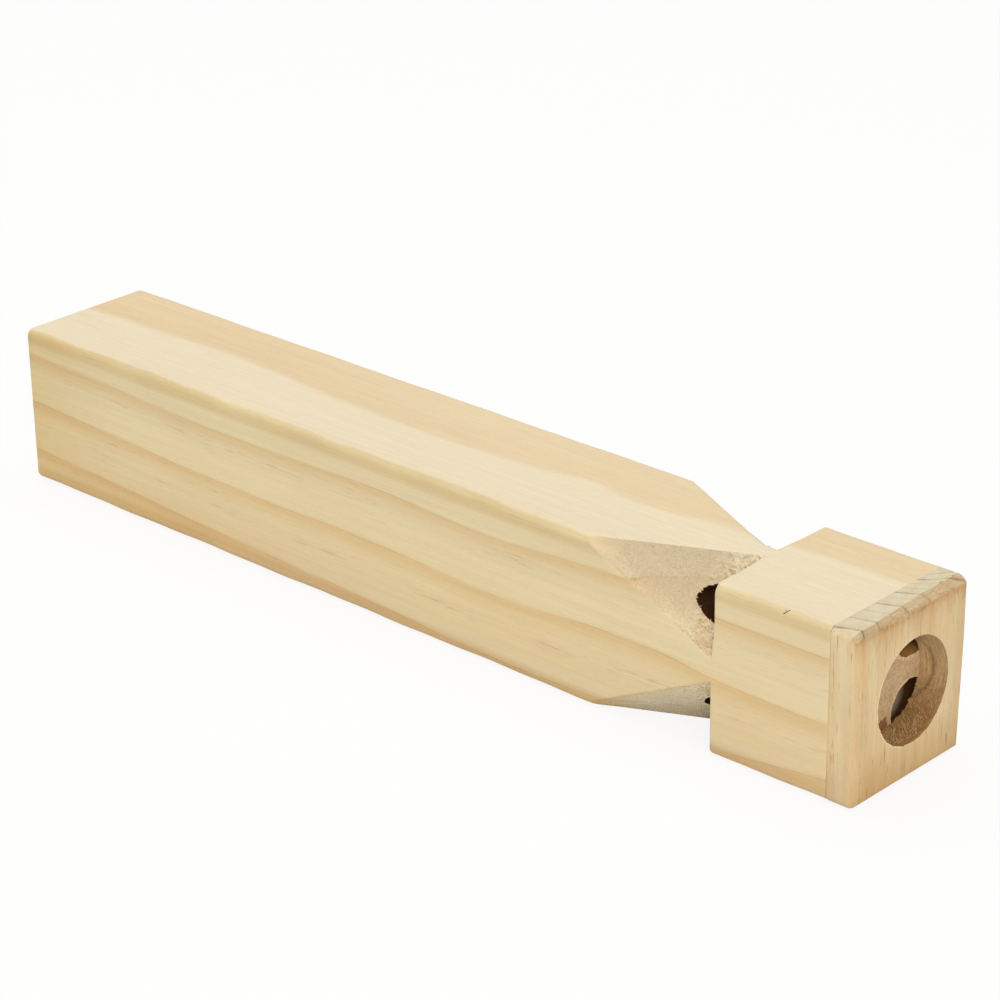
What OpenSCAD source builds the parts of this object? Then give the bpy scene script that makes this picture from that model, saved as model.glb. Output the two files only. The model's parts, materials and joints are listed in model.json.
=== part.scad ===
/* [Bar] */
// Overall length, with the mouthpiece cap
whistle_l = 200; // [180:1:260]
// Width of the section
whistle_w = 30; // [28:0.1:36]
// Height of the section
whistle_h = 31.3; // [29:0.1:36]
// Sanded round along the four long edges
edge_r = 1.6; // [0.5:0.1:3]
// Sanded round about the closed end
tail_r = 0.7; // [0.3:0.1:2]

/* [Pipes] */
// Diameter of the drilled pipes
pipe_d = 10; // [8:0.1:11]
// Spacing of the pipe centres, across and up
pipe_pitch = 13.2; // [12:0.1:15]
// Sounding length of the deepest pipe, from its window to the drill point
pipe_l = 140; // [100:1:150]
// Note of the far top pipe, in semitones above the deepest pipe
far_top_semitones = 7; // [0:1:12]
// Note of the near top pipe
near_top_semitones = 9; // [0:1:12]
// Note of the near bottom pipe
near_bottom_semitones = 0; // [0:1:12]
// Note of the far bottom pipe
far_bottom_semitones = 4; // [0:1:12]
// Point angle of the pipe drill
drill_angle = 118; // [90:1:140]

/* [Windows] */
// Distance from the blown end to the square face of the notches
mouth_l = 28.8; // [25:0.1:40]
// Width of a notch on each face, at its square face
notch_w = 13.5; // [11:0.1:14]
// Length of a notch's slope along the edge
notch_l = 28; // [20:0.5:45]

/* [Fipple plugs] */
// Length of a plug
plug_l = 14; // [8:0.5:18]
// Height of the windway at the window
windway_h = 1.3; // [0.6:0.1:2.5]
// Height of the windway where the breath enters
windway_entry_h = 2; // [0.8:0.1:3]
// Chamfer about the end of a plug that faces the breath
plug_chamfer = 0.6; // [0.2:0.1:1]
// Gap round a plug for the glue
glue_gap = 0.02; // [0:0.01:0.1]

/* [Mouthpiece cap] */
// Thickness of the cap
cap_t = 5; // [3:0.1:9]
// Diameter of the blow hole
blow_d = 18.5; // [14:0.1:22]
// How far the blow hole sits off the middle, to the far side
blow_offset = 0.85; // [0:0.05:2]
// Sanded round about the blown face
cap_edge_r = 1.1; // [0.4:0.1:2]

/* [Hidden] */
$fn = 96;
// How far a cutter runs past the face that it opens
over = 1;
octave_semitones = 12;
tail_x = -whistle_l / 2;
mouth_x = whistle_l / 2;
seam_x = mouth_x - cap_t;
window_x = mouth_x - mouth_l;
axis_z = whistle_h / 2;
// Distance out from the bar's axis, along a diagonal of the section
pipe_p = pipe_pitch / sqrt(2);
corner_p = (whistle_w + whistle_h) / 2 / sqrt(2);
notch_p = corner_p - notch_w / sqrt(2);
lip_p = pipe_p + pipe_d / 2;
// The four corners, as the angle about the bar's axis from the far side
far_top_angle = 45;
near_top_angle = 135;
near_bottom_angle = 225;
far_bottom_angle = 315;
// Each pipe's corner and note
PIPES = [
    [far_top_angle, far_top_semitones],
    [near_top_angle, near_top_semitones],
    [near_bottom_angle, near_bottom_semitones],
    [far_bottom_angle, far_bottom_semitones]
];
pine = [0.92, 0.82, 0.62];
cap_pine = [0.90, 0.78, 0.57];
dowel = [0.83, 0.70, 0.50];

// A stopped pipe sounds a semitone higher for each twelfth root of two that it is shortened by
function pipe_length(semitones) = pipe_l / pow(2, semitones / octave_semitones);

// Turns a shape drawn along +Y out of the bar's axis to one corner of the section
module at_corner(angle) {
    translate([0, 0, axis_z])
        rotate([angle, 0, 0])
            children();
}

// A rod along +X from x0 to x1
module rod_x(x0, x1, r) {
    translate([x0, 0, 0])
        rotate([0, 90, 0])
            cylinder(h = x1 - x0, r = r);
}

// A rectangle with its four corners rounded
module rounded_rect(size, r) {
    square([size.x - 2 * r, size.y], center = true);
    square([size.x, size.y - 2 * r], center = true);
    for (sx = [-1, 1], sy = [-1, 1])
        translate([sx * (size.x / 2 - r), sy * (size.y / 2 - r)])
            circle(r = r);
}

// A rectangle from the origin along +X, rounded at its far end only
module round_ended_rect(l, w, r) {
    translate([0, -w / 2])
        square([l - r, w]);
    translate([0, -w / 2 + r])
        square([l, w - 2 * r]);
    for (side = [-1, 1])
        translate([l - r, side * (w / 2 - r)])
            circle(r = r);
}

// A length of the bar's section along +X, its long edges rounded and the rim of its far end rounded
module bar(l, end_r) {
    translate([0, 0, axis_z])
        intersection() {
            rotate([90, 0, 90])
                linear_extrude(l)
                    rounded_rect([whistle_w, whistle_h], edge_r);
            linear_extrude(whistle_h + 2 * over, center = true)
                round_ended_rect(l, whistle_w, end_r);
            rotate([90, 0, 0])
                linear_extrude(whistle_w + 2 * over, center = true)
                    round_ended_rect(l, whistle_h, end_r);
        }
}

// The hole that the drill leaves: a straight bore from the seam and the cone of the drill's point
module pipe_bore(angle, semitones) {
    bore_end = window_x - pipe_length(semitones);
    point_l = pipe_d / 2 / tan(drill_angle / 2);
    at_corner(angle)
        translate([0, pipe_p, 0]) {
            rod_x(bore_end, seam_x + over, pipe_d / 2);
            translate([bore_end, 0, 0])
                rotate([0, -90, 0])
                    cylinder(h = point_l, r1 = pipe_d / 2, r2 = 0);
        }
}

// The sawn notch: a ramp down from the edge to a square face that crosses the pipe
module notch(angle) {
    rise = corner_p + over - notch_p;
    ramp_l = notch_l * rise / (corner_p - notch_p);
    at_corner(angle)
        linear_extrude(whistle_w, center = true)
            polygon([
                [window_x, notch_p],
                [window_x, corner_p + over],
                [window_x - ramp_l, corner_p + over]
            ]);
}

module whistle_body() {
    color(pine)
        difference() {
            translate([seam_x, 0, 0])
                mirror([1, 0, 0])
                    bar(seam_x - tail_x, tail_r);
            for (pipe = PIPES) {
                pipe_bore(pipe[0], pipe[1]);
                notch(pipe[0]);
            }
        }
}

module mouthpiece_cap() {
    color(cap_pine)
        difference() {
            translate([seam_x, 0, 0])
                bar(cap_t, cap_edge_r);
            translate([0, blow_offset, axis_z])
                rod_x(seam_x - over, mouth_x + over, blow_d / 2);
        }
}

// A dowel with a chamfered end and a tapered flat, which leaves the windway under the pipe's outer wall
module fipple_plug(angle) {
    plug_r = pipe_d / 2 - glue_gap;
    entry_x = window_x + plug_l;
    color(dowel)
        at_corner(angle)
            difference() {
                translate([0, pipe_p, 0]) {
                    rod_x(window_x, entry_x - plug_chamfer, plug_r);
                    translate([entry_x - plug_chamfer, 0, 0])
                        rotate([0, 90, 0])
                            cylinder(h = plug_chamfer, r1 = plug_r, r2 = plug_r - plug_chamfer);
                }
                linear_extrude(pipe_d + 2 * over, center = true)
                    polygon([
                        [window_x, lip_p - windway_h],
                        [entry_x, lip_p - windway_entry_h],
                        [entry_x + over, lip_p - windway_entry_h],
                        [entry_x + over, lip_p + over],
                        [window_x - over, lip_p + over],
                        [window_x - over, lip_p - windway_h]
                    ]);
            }
}

module fipple_plug_far_top() { fipple_plug(far_top_angle); }
module fipple_plug_near_top() { fipple_plug(near_top_angle); }
module fipple_plug_near_bottom() { fipple_plug(near_bottom_angle); }
module fipple_plug_far_bottom() { fipple_plug(far_bottom_angle); }

whistle_body();
mouthpiece_cap();
fipple_plug_far_top();
fipple_plug_near_top();
fipple_plug_near_bottom();
fipple_plug_far_bottom();
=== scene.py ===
"""A four-note wooden train whistle, and the stage around it.

Its pieces are the sanded bar, the drilled end plate, the dowel plugs and torn fibres. Mesh code works in
millimetres in the frame of the solids: +X towards the blown end, +Y to the far side, +Z up.
"""
import collections
import itertools
import json
import math

import bmesh
import bpy
import numpy as np
from mathutils import Matrix, Vector


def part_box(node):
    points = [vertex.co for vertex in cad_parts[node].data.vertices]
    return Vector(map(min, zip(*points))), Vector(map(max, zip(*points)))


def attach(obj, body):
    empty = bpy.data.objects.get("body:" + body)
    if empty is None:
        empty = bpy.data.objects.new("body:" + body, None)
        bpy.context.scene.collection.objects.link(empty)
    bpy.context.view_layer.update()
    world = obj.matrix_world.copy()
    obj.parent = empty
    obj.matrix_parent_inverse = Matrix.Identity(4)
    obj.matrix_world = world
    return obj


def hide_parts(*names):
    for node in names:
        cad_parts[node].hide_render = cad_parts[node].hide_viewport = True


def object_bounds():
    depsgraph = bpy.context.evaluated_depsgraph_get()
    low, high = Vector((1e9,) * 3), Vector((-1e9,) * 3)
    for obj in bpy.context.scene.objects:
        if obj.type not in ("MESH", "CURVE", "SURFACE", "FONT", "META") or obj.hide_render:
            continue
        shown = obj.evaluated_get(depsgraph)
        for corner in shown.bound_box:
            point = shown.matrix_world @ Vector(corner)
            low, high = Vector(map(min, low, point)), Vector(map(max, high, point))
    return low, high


bl_info = {
    "name": "Wooden train whistle",
    "version": (1, 0, 0),
    "blender": (4, 5, 0),
    "location": "View3D > Sidebar > Whistle",
    "description": "Builds the pieces, wood finishes and stage of a four-note wooden train whistle",
    "category": "Add Mesh",
}

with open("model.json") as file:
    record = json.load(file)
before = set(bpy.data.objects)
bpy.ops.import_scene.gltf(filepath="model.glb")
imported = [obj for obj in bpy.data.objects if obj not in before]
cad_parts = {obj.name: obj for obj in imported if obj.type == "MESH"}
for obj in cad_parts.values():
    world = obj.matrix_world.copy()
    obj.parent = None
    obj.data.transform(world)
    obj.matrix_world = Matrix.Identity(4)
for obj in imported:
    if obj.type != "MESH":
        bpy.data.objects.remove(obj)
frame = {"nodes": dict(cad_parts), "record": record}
SOLID_BOX = [list(corner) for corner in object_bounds()]
MM = 0.001
ROOT2 = math.sqrt(2)


def node_box(node):
    """Lowest and highest corner of a solid, in millimetres."""
    return [[value / MM for value in corner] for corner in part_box(node)]


# Places read from the solids
BAR_LOW, BAR_HIGH = node_box("whistle_body")
TAIL_X = BAR_LOW[0]
SEAM_X = BAR_HIGH[0]
MOUTH_X = node_box("mouthpiece_cap")[1][0]
WINDOW_X = node_box("fipple_plug_near_top")[0][0]
PLATE_T = MOUTH_X - SEAM_X
HALF_W = (BAR_HIGH[1] - BAR_LOW[1]) / 2
HALF_H = (BAR_HIGH[2] - BAR_LOW[2]) / 2
AXIS_Z = (BAR_HIGH[2] + BAR_LOW[2]) / 2
TOP_Z = AXIS_Z + HALF_H
BLOW_HOLE = next(mount for mount in frame["record"]["mounts"] if mount["name"] == "blow_hole")
HOLE_R = BLOW_HOLE["dims"]["r_mm"]
HOLE_Y, HOLE_Z = (value / MM for value in BLOW_HOLE["pos_m"][1:])

# What differs from corner to corner, as the maker's hand left it, with sizes in millimetres
Corner = collections.namedtuple("Corner", (
    "side",  # 1 on the far side, -1 on the near side
    "height",  # 1 at the top, -1 at the bottom
    "semitones",  # note of the pipe above the longest one
    "wander",  # share of the edge wander on the long edge
    "cut_lean",  # how far the square cut leans towards the mouth at the corner
    "slope_drop",  # how much deeper the slope is sawn
    "short_by",  # how far before the square cut the slope reaches its full depth
    "lip_cover",  # how far unbroken wood stands over the window
    "lip_torn",  # how far the lip is torn back on the half towards the side face
    "teeth",  # seed of the pattern of torn teeth on the lip
    "strands",  # number of torn strands on the slope
    "burr",  # how far torn wood closes the pipe's mouth on the side of the bar's axis
))
CORNERS = {
    "far_top": Corner(1, 1, 7, 0.35, 0.4, -0.24, 3.0, 0.2, 0.0, 3, 0, 0.95),
    "near_top": Corner(-1, 1, 9, 1.0, 0.65, 0.17, 0.0, 0.0, 0.7, 220, 260, 0.3),
    "near_bottom": Corner(-1, -1, 0, 0.6, 0.0, 0.0, 0.0, 1.5, 0.0, 25, 70, 0.2),
    "far_bottom": Corner(1, -1, 4, 0.5, 0.2, 0.05, 0.0, 0.6, 0.0, 36, 110, 0.5),
}
OCTAVE_SEMITONES = 12

# Rows and columns of the bar's patches, as shares of a run, as angles or as counts
FLAT = np.append(np.linspace(0, 0.95, 8), [0.98, 1.0])
SHOULDER = np.linspace(0.25, 1, 4)
ARC = np.linspace(1 / 7, 1, 7) * math.pi / 4
TAIL_TURN = np.linspace(0, math.pi / 2, 6)
TAIL_RINGS = np.linspace(0, 1, 13)
LONG_ROWS = 110
NOTCH_ROWS = 70
EVEN_STEPS = np.linspace(0, 1, 46)
SLOPE_STEPS = 0.5 * EVEN_STEPS ** 1.7 + 0.5 * (1 - (1 - EVEN_STEPS) ** 1.7)
BLOCK_ROWS = 18
PIPE_DEPTHS = np.array([0, 0.004, 0.012, 0.03, 0.07, 0.14, 0.26, 0.45, 0.7, 1.0])
MOUTH_DEPTHS = np.append(np.linspace(0, 0.94, 9), [0.98, 1.0])
MIDDLE_STEPS = np.linspace(0, 1, 11)[1:]
SEAM_STEPS = np.linspace(0, 1, 9)
CONE_STEPS = np.linspace(0, 1, 5)

# Columns and rows of the plate's patches
PLATE_RUN = np.linspace(0, 1, 49)
PLATE_ARC = np.linspace(0, math.pi / 4, 13)[1:]
PLATE_TURN = np.linspace(0, math.pi / 2, 10)[1:, None]
PLATE_SHARES = np.concatenate([[0, 0.06], np.linspace(0.15, 1, 7)])[:, None]
HOLE_DEPTHS = np.concatenate([
    [0, 0.05, 0.16, 0.34], np.linspace(0.6, PLATE_T - 0.55, 26), [PLATE_T - 0.3, PLATE_T - 0.12, PLATE_T]])

# How far a sawn edge is eased, how wide that is, and how deep the seam of the plate is, in millimetres
TIP_EASE = 0.1
TIP_REACH = 0.35
SEAM_GROOVE = 0.07
# How far from the square cut its lean fades out, in millimetres
LEAN_REACH = 10
# Points closer than this in metres are one, and edges bent by more than this angle stay sharp
MERGE_DISTANCE = 2e-6
SHARP_ANGLE = math.radians(32)
# How far loose strands stay inside the solids' box, in millimetres
STRAND_MARGIN = 0.02

# Material slots of the bar and of the plate
SANDED, SAWN, DRILLED = range(3)
PLATE_OUTSIDE, PLATE_WALL = range(2)


class WhistleBarSettings(bpy.types.PropertyGroup):
    """Sizes and colours of the bar."""
    edge_round: bpy.props.FloatProperty(
        name="Edge round", description="Mean radius sanded on the long edges", default=0.0016, min=0.0005,
        max=0.003, unit="LENGTH")
    edge_wander: bpy.props.FloatProperty(
        name="Edge wander", description="How far the sanded radius wanders along an edge", default=0.0004,
        min=0, max=0.0008, unit="LENGTH")
    tail_round: bpy.props.FloatProperty(
        name="Tail round", description="Radius round the tail face", default=0.0007, min=0.0002,
        max=0.002, unit="LENGTH")
    pipe_diameter: bpy.props.FloatProperty(
        name="Pipe diameter", description="Diameter of the four drilled pipes", default=0.010, min=0.006,
        max=0.012, unit="LENGTH")
    pipe_pitch: bpy.props.FloatProperty(
        name="Pipe pitch", description="Distance between neighbouring pipe centres", default=0.0132,
        min=0.0122, max=0.015, unit="LENGTH")
    pipe_length: bpy.props.FloatProperty(
        name="Longest pipe", description="Length of the lowest pipe behind its window", default=0.140,
        min=0.09, max=0.16, unit="LENGTH")
    drill_angle: bpy.props.FloatProperty(
        name="Drill point", description="Full angle of the drill point that ends each pipe",
        default=math.radians(118), min=math.radians(90), max=math.radians(140), subtype="ANGLE")
    notch_width: bpy.props.FloatProperty(
        name="Notch width", description="How far a notch reaches from its corner at the square cut",
        default=0.0135, min=0.011, max=0.0145, unit="LENGTH")
    notch_length: bpy.props.FloatProperty(
        name="Notch length", description="Length of the sloping cut, to the unrounded corner",
        default=0.028, min=0.02, max=0.04, unit="LENGTH")
    lip_tear: bpy.props.FloatProperty(
        name="Lip tear", description="Longest fibre left standing at a window's lip", default=0.0007,
        min=0, max=0.0015, unit="LENGTH")
    early_wood: bpy.props.FloatVectorProperty(
        name="Early wood", description="Pale side of a growth ring", default=(0.870, 0.750, 0.525),
        size=3, min=0, max=1, subtype="COLOR")
    late_wood: bpy.props.FloatVectorProperty(
        name="Late wood", description="Tan side of a growth ring", default=(0.810, 0.606, 0.348), size=3,
        min=0, max=1, subtype="COLOR")
    sawn_wood: bpy.props.FloatVectorProperty(
        name="Sawn wood", description="Fuzzy wood of the sloping cuts", default=(0.680, 0.532, 0.370),
        size=3, min=0, max=1, subtype="COLOR")
    drilled_wood: bpy.props.FloatVectorProperty(
        name="Drilled wood", description="Scorched wall of the pipes", default=(0.24, 0.11, 0.05), size=3,
        min=0, max=1, subtype="COLOR")


class WhistlePlateSettings(bpy.types.PropertyGroup):
    """Sizes and colours of the end plate."""
    front_round: bpy.props.FloatProperty(
        name="Front round", description="Radius round the front edge", default=0.0011, min=0.0003,
        max=0.0025, unit="LENGTH")
    sharp_round: bpy.props.FloatProperty(
        name="Sharp corner", description="Radius of the far lower corner, which was left sharper",
        default=0.0005, min=0.0002, max=0.002, unit="LENGTH")
    side_lean: bpy.props.FloatProperty(
        name="Side lean", description="How far the far side leans in at the bottom", default=0.0008,
        min=0, max=0.0012, unit="LENGTH")
    hole_tear: bpy.props.FloatProperty(
        name="Hole tear", description="How far torn grain stands into the blow hole", default=0.00022,
        min=0, max=0.0006, unit="LENGTH")
    hole_taper: bpy.props.FloatProperty(
        name="Hole taper", description="How far the blow hole's wall closes in towards the back",
        default=0.0007, min=0, max=0.001, unit="LENGTH")
    face_wood: bpy.props.FloatVectorProperty(
        name="Face wood", description="Pale wood of the plate", default=(0.835, 0.655, 0.405), size=3,
        min=0, max=1, subtype="COLOR")
    line_wood: bpy.props.FloatVectorProperty(
        name="Line wood", description="Brown lines of the plate's growth rings",
        default=(0.56, 0.36, 0.18), size=3, min=0, max=1, subtype="COLOR")
    end_wood: bpy.props.FloatVectorProperty(
        name="End wood", description="Greyed end grain on the plate's top and bottom",
        default=(0.745, 0.655, 0.475), size=3, min=0, max=1, subtype="COLOR")
    hole_wood: bpy.props.FloatVectorProperty(
        name="Hole wood", description="Torn wood of the blow hole's wall", default=(0.65, 0.45, 0.245),
        size=3, min=0, max=1, subtype="COLOR")


class WhistleStageSettings(bpy.types.PropertyGroup):
    """Light and lens."""
    room_light: bpy.props.FloatProperty(
        name="Room light", description="Strength of the even light from all round", default=0.58, min=0,
        max=2)
    room_tint: bpy.props.FloatVectorProperty(
        name="Room tint", description="Colour of the even light", default=(1.0, 0.945, 0.80), size=3,
        min=0, max=1, subtype="COLOR")
    overhead_power: bpy.props.FloatProperty(
        name="Overhead lamp", description="Power of the soft lamp overhead", default=3.97, min=0, max=50,
        unit="POWER")
    overhead_tint: bpy.props.FloatVectorProperty(
        name="Overhead tint", description="Colour of the soft lamp overhead", default=(0.75, 0.865, 1.0),
        size=3, min=0, max=1, subtype="COLOR")
    front_power: bpy.props.FloatProperty(
        name="Front lamp", description="Power of the soft lamp before the mouth", default=5.8, min=0,
        max=50, unit="POWER")
    front_tint: bpy.props.FloatVectorProperty(
        name="Front tint", description="Colour of the soft lamp before the mouth",
        default=(1.0, 0.93, 0.81), size=3, min=0, max=1, subtype="COLOR")
    lens: bpy.props.FloatProperty(
        name="Lens", description="Focal length in millimetres on a 36 mm sensor", default=115.775, min=20,
        max=300, unit="CAMERA")


def settings():
    """The three groups of settings of the scene."""
    scene = bpy.context.scene
    return scene.whistle_bar, scene.whistle_plate, scene.whistle_stage


# Odd numbers that scatter the bits of a lattice cell's place
CELL_WEIGHTS = np.array([374761393, 668265263, 1442695041], dtype=np.int64)
SEED_WEIGHT = 362437
SCATTER = 1274126177
HALF_RANGE = 32767.5


def lattice(cells, seed):
    """A fixed random number from -1 to 1 for each cell: a weighted sum of its whole coordinates, its bits
    mixed."""
    mixed = (cells * CELL_WEIGHTS[:cells.shape[-1]]).sum(-1) + np.int64(seed) * SEED_WEIGHT
    mixed = (mixed ^ (mixed >> 13)) * SCATTER
    mixed = (mixed ^ (mixed >> 16)) & 0xFFFF
    return mixed / HALF_RANGE - 1


def smooth_noise(points, seed):
    """Noise from -1 to 1: the lattice's numbers at the corners of a cell, blended by 3t^2 - 2t^3 along
    each axis."""
    base = np.floor(points).astype(np.int64)
    part = points - base
    part = part * part * (3 - 2 * part)
    total = np.zeros(points.shape[:-1])
    for step in itertools.product((0, 1), repeat=points.shape[-1]):
        weight = np.prod(np.where(np.array(step) == 1, part, 1 - part), axis=-1)
        total += weight * lattice(base + np.array(step), seed)
    return total


def grain_noise(points, sizes, seed):
    """Smooth noise whose features have the given sizes in millimetres, with a second octave that is 2.3
    times as fine and half as strong."""
    coarse = smooth_noise(points / np.array(sizes), seed)
    return (coarse + 0.5 * smooth_noise(points / np.array(sizes) * 2.3, seed + 7)) / 1.5


def grid_faces(rows, columns, start):
    """The four-cornered faces of a grid of points that are numbered row by row from start."""
    index = np.arange(rows * columns).reshape(rows, columns) + start
    corners = [index[:-1, :-1], index[1:, :-1], index[1:, 1:], index[:-1, 1:]]
    return np.stack(corners, axis=-1).reshape(-1, 4)


def make_piece(name, patches, materials):
    """Joins grids of points into one closed mesh object.

    Each patch is (grid of points in millimetres, material index). Points on shared edges fall together
    and are merged, which also closes poles, and the faces of the closed shell are turned outwards.
    """
    points, faces, slots, count = [], [], [], 0
    for grid, slot in patches:
        quads = grid_faces(grid.shape[0], grid.shape[1], count)
        points.append(grid.reshape(-1, 3) * MM)
        faces.append(quads)
        slots.append(np.full(len(quads), slot))
        count += grid.shape[0] * grid.shape[1]
    points, faces, slots = np.concatenate(points), np.concatenate(faces), np.concatenate(slots)
    mesh = bpy.data.meshes.new(name)
    mesh.vertices.add(len(points))
    mesh.vertices.foreach_set("co", points.ravel())
    mesh.loops.add(faces.size)
    mesh.loops.foreach_set("vertex_index", faces.ravel())
    mesh.polygons.add(len(faces))
    mesh.polygons.foreach_set("loop_start", np.arange(0, faces.size, 4))
    mesh.polygons.foreach_set("material_index", slots)
    mesh.update(calc_edges=True)
    shell = bmesh.new()
    shell.from_mesh(mesh)
    bmesh.ops.remove_doubles(shell, verts=shell.verts, dist=MERGE_DISTANCE)
    bmesh.ops.recalc_face_normals(shell, faces=shell.faces)
    shell.to_mesh(mesh)
    shell.free()
    mesh.polygons.foreach_set("use_smooth", np.ones(len(mesh.polygons), dtype=bool))
    mesh.set_sharp_from_angle(angle=SHARP_ANGLE)
    for material in materials:
        mesh.materials.append(material)
    piece = bpy.data.objects.new(name, mesh)
    bpy.context.scene.collection.objects.link(piece)
    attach(piece, "root")
    return piece


def bar_sizes():
    """The bar's settings in millimetres, with what follows from them.

    A notch is one plane through the corner: at the square cut it stands slope_p from the axis along the
    diagonal, and it rises by slope_k for each millimetre towards the tail. notch_start lies before the
    first place where the deepest or longest slope of the four cuts a rounded edge.
    """
    bar = settings()[0]
    size = {key: getattr(bar, key) / MM for key in (
        "edge_round", "edge_wander", "tail_round", "pipe_diameter", "pipe_pitch", "pipe_length",
        "notch_width", "notch_length", "lip_tear")}
    size["pipe_r"] = size["pipe_diameter"] / 2
    size["pipe_p"] = size["pipe_pitch"] / ROOT2
    size["slope_p"] = (HALF_W + HALF_H - size["notch_width"]) / ROOT2
    size["slope_k"] = size["notch_width"] / ROOT2 / size["notch_length"]
    rounded_p = (HALF_W + HALF_H - (2 - ROOT2) * size["edge_round"]) / ROOT2
    rounded_p += max(corner.slope_drop for corner in CORNERS.values())
    size["notch_start"] = WINDOW_X - (rounded_p - size["slope_p"]) / size["slope_k"]
    size["notch_start"] -= max(corner.short_by for corner in CORNERS.values())
    size["drill_tip"] = size["pipe_r"] / math.tan(bar.drill_angle / 2)
    return size


def corner_sizes(size, corner):
    """The sizes at one corner: its own depth of slope, and the angle either side of the diagonal up to
    which that plane meets the pipe's wall."""
    own = dict(size)
    own["slope_p"] = size["slope_p"] - corner.slope_drop
    own["wander"] = size["edge_wander"] * corner.wander
    own["lip_angle"] = math.acos((own["slope_p"] - own["pipe_p"]) / own["pipe_r"])
    return own


def slope_depth(x, size, corner):
    """Where the sloping cut lies, out from the axis along the diagonal: at its full depth up to its foot,
    and rising evenly from there towards the tail."""
    return size["slope_p"] + size["slope_k"] * np.clip(WINDOW_X - corner.short_by - x, 0, None)


def lip_place(angle, size, corner):
    """Where the sloping cut meets the pipe's wall, along the bar: on the slope's plane, but drawn to the
    square cut at the ends of the lip and torn back by half a sine on the half towards the side face."""
    rise = size["pipe_p"] + size["pipe_r"] * np.cos(angle) - size["slope_p"]
    share = angle / size["lip_angle"]
    torn = corner.lip_torn * np.clip(np.sin(math.pi * share), 0, None)
    return WINDOW_X - rise / size["slope_k"] - corner.short_by * (1 - share ** 6) - torn


def edge_radius(x, size, seed):
    """Mean radius plus a long and a short wave along the bar, with their own phases at each corner."""
    wave = 0.6 * np.sin(x / 5.9 + 2.1 * seed) + 0.4 * np.sin(x / 2.3 + 1.3 * seed * seed)
    return size["edge_round"] + size["wander"] * wave


def half_face(half_u, half_v, radius, diagonal):
    """Half the outline of one face at each row: a straight run out from the middle of the face, then half
    the arc of the corner. Both stop where the notch plane u + v = diagonal cuts them, and the cut edge is
    eased. Gives rows x columns x (u, v)."""
    half_u, half_v, radius, diagonal = (
        np.asarray(value)[:, None] for value in (half_u, half_v, radius, diagonal))
    straight = np.minimum(half_u - radius, diagonal - half_v)
    reach = np.clip((diagonal - half_u - half_v + 2 * radius) / radius, 1, ROOT2)
    turn = (1 - np.arccos(reach / ROOT2) / (math.pi / 4)) * ARC
    u = np.concatenate([straight * FLAT, straight + radius * np.sin(turn)], axis=1)
    v = np.concatenate([half_v + 0 * straight * FLAT, half_v - radius + radius * np.cos(turn)], axis=1)
    to_end = np.hypot(u - u[:, -1:], v - v[:, -1:])
    cut = np.clip((half_u + half_v - 0.5 * radius - diagonal) / 2, 0, 1)
    return np.stack([u, v - TIP_EASE * cut * np.clip(1 - to_end / TIP_REACH, 0, 1)], axis=-1)


def block_face(half_u, half_v, radius, cut_u, shrink):
    """Half the outline of one face of the mouth block: the straight run to the notch's tip, on to the
    arc, and the arc, moved inwards by shrink at each row; the first row repeats the eased tip."""
    radius, shrink = radius[:, None], shrink[:, None]
    flat = np.ones(len(FLAT) + len(SHOULDER))
    rows = np.ones_like(radius)
    straight = half_u - radius
    u = np.concatenate([
        rows * cut_u * FLAT,
        cut_u + (straight - cut_u) * SHOULDER,
        straight + radius * np.sin(ARC)], axis=1)
    v = np.concatenate([rows * half_v * flat, half_v - radius + radius * np.cos(ARC)], axis=1)
    lean = np.concatenate([0 * flat, ARC])
    eased = shrink * np.ones_like(u)
    eased[0] = TIP_EASE * np.clip(1 - (cut_u - u[0]) / TIP_REACH, 0, 1)
    return np.stack([u - eased * np.sin(lean), v - eased * np.cos(lean)], axis=-1)


def along(x, uv, swap):
    """Rows of (u, v) at each x as points (x, across, up) of one quadrant; swap turns a top half into a
    side half."""
    columns = uv.shape[1]
    first, second = (uv[..., 1], uv[..., 0]) if swap else (uv[..., 0], uv[..., 1])
    return np.stack([np.repeat(x[:, None], columns, axis=1), first, second], axis=-1)


def pipe_points(x, angle, size):
    """Points on a pipe's wall, at an angle from the outward diagonal towards the side face."""
    p = size["pipe_p"] + size["pipe_r"] * np.cos(angle)
    q = size["pipe_r"] * np.sin(angle)
    return np.stack(np.broadcast_arrays(x, (p + q) / ROOT2, (p - q) / ROOT2), axis=-1)


def mouth_rim(angle, size, burr, seed):
    """Rim of a pipe in the bar's end: the wall's circle, closed in unevenly by a burr on the side of the
    axis."""
    uneven = 1 + 0.3 * smooth_noise(angle[:, None] * 3, seed)
    uneven = uneven + 0.12 * smooth_noise(angle[:, None] * 17, seed + 1)
    narrowed = size["pipe_r"] - burr * uneven * np.clip(-np.cos(angle), 0, 1)
    return pipe_points(SEAM_X, angle, dict(size, pipe_r=narrowed))


def ruled(inner, outer, steps):
    """Straight lines from each inner point to its outer point, with a row of points at each step."""
    return inner[None] + (outer - inner)[None] * steps[:, None, None]


def lip_teeth(count, size, cover, seed):
    """How far each point of a window's lip stands out along the grain: a cover of unbroken wood and
    uneven spikes a few points wide, falling to none at the ends of the lip."""
    place = np.arange(count)[:, None] / 3.1
    spike = np.clip(smooth_noise(place, seed) + 0.35 * smooth_noise(place * 2.7, seed + 3), 0, 1) ** 1.3
    lumps = 0.5 + 0.5 * smooth_noise(place / 5, seed + 5)
    tear = size["lip_tear"] * (spike + 0.35 * lumps) + cover * (0.85 + 0.3 * lumps)
    return tear * np.sin(np.linspace(0, math.pi, count)) ** 0.6


def slope_normal(size):
    """Across a sloping cut, out of the wood: up the diagonal, tipped towards the mouth by the slope's
    rise."""
    return np.array([size["slope_k"], 1 / ROOT2, 1 / ROOT2])


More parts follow.
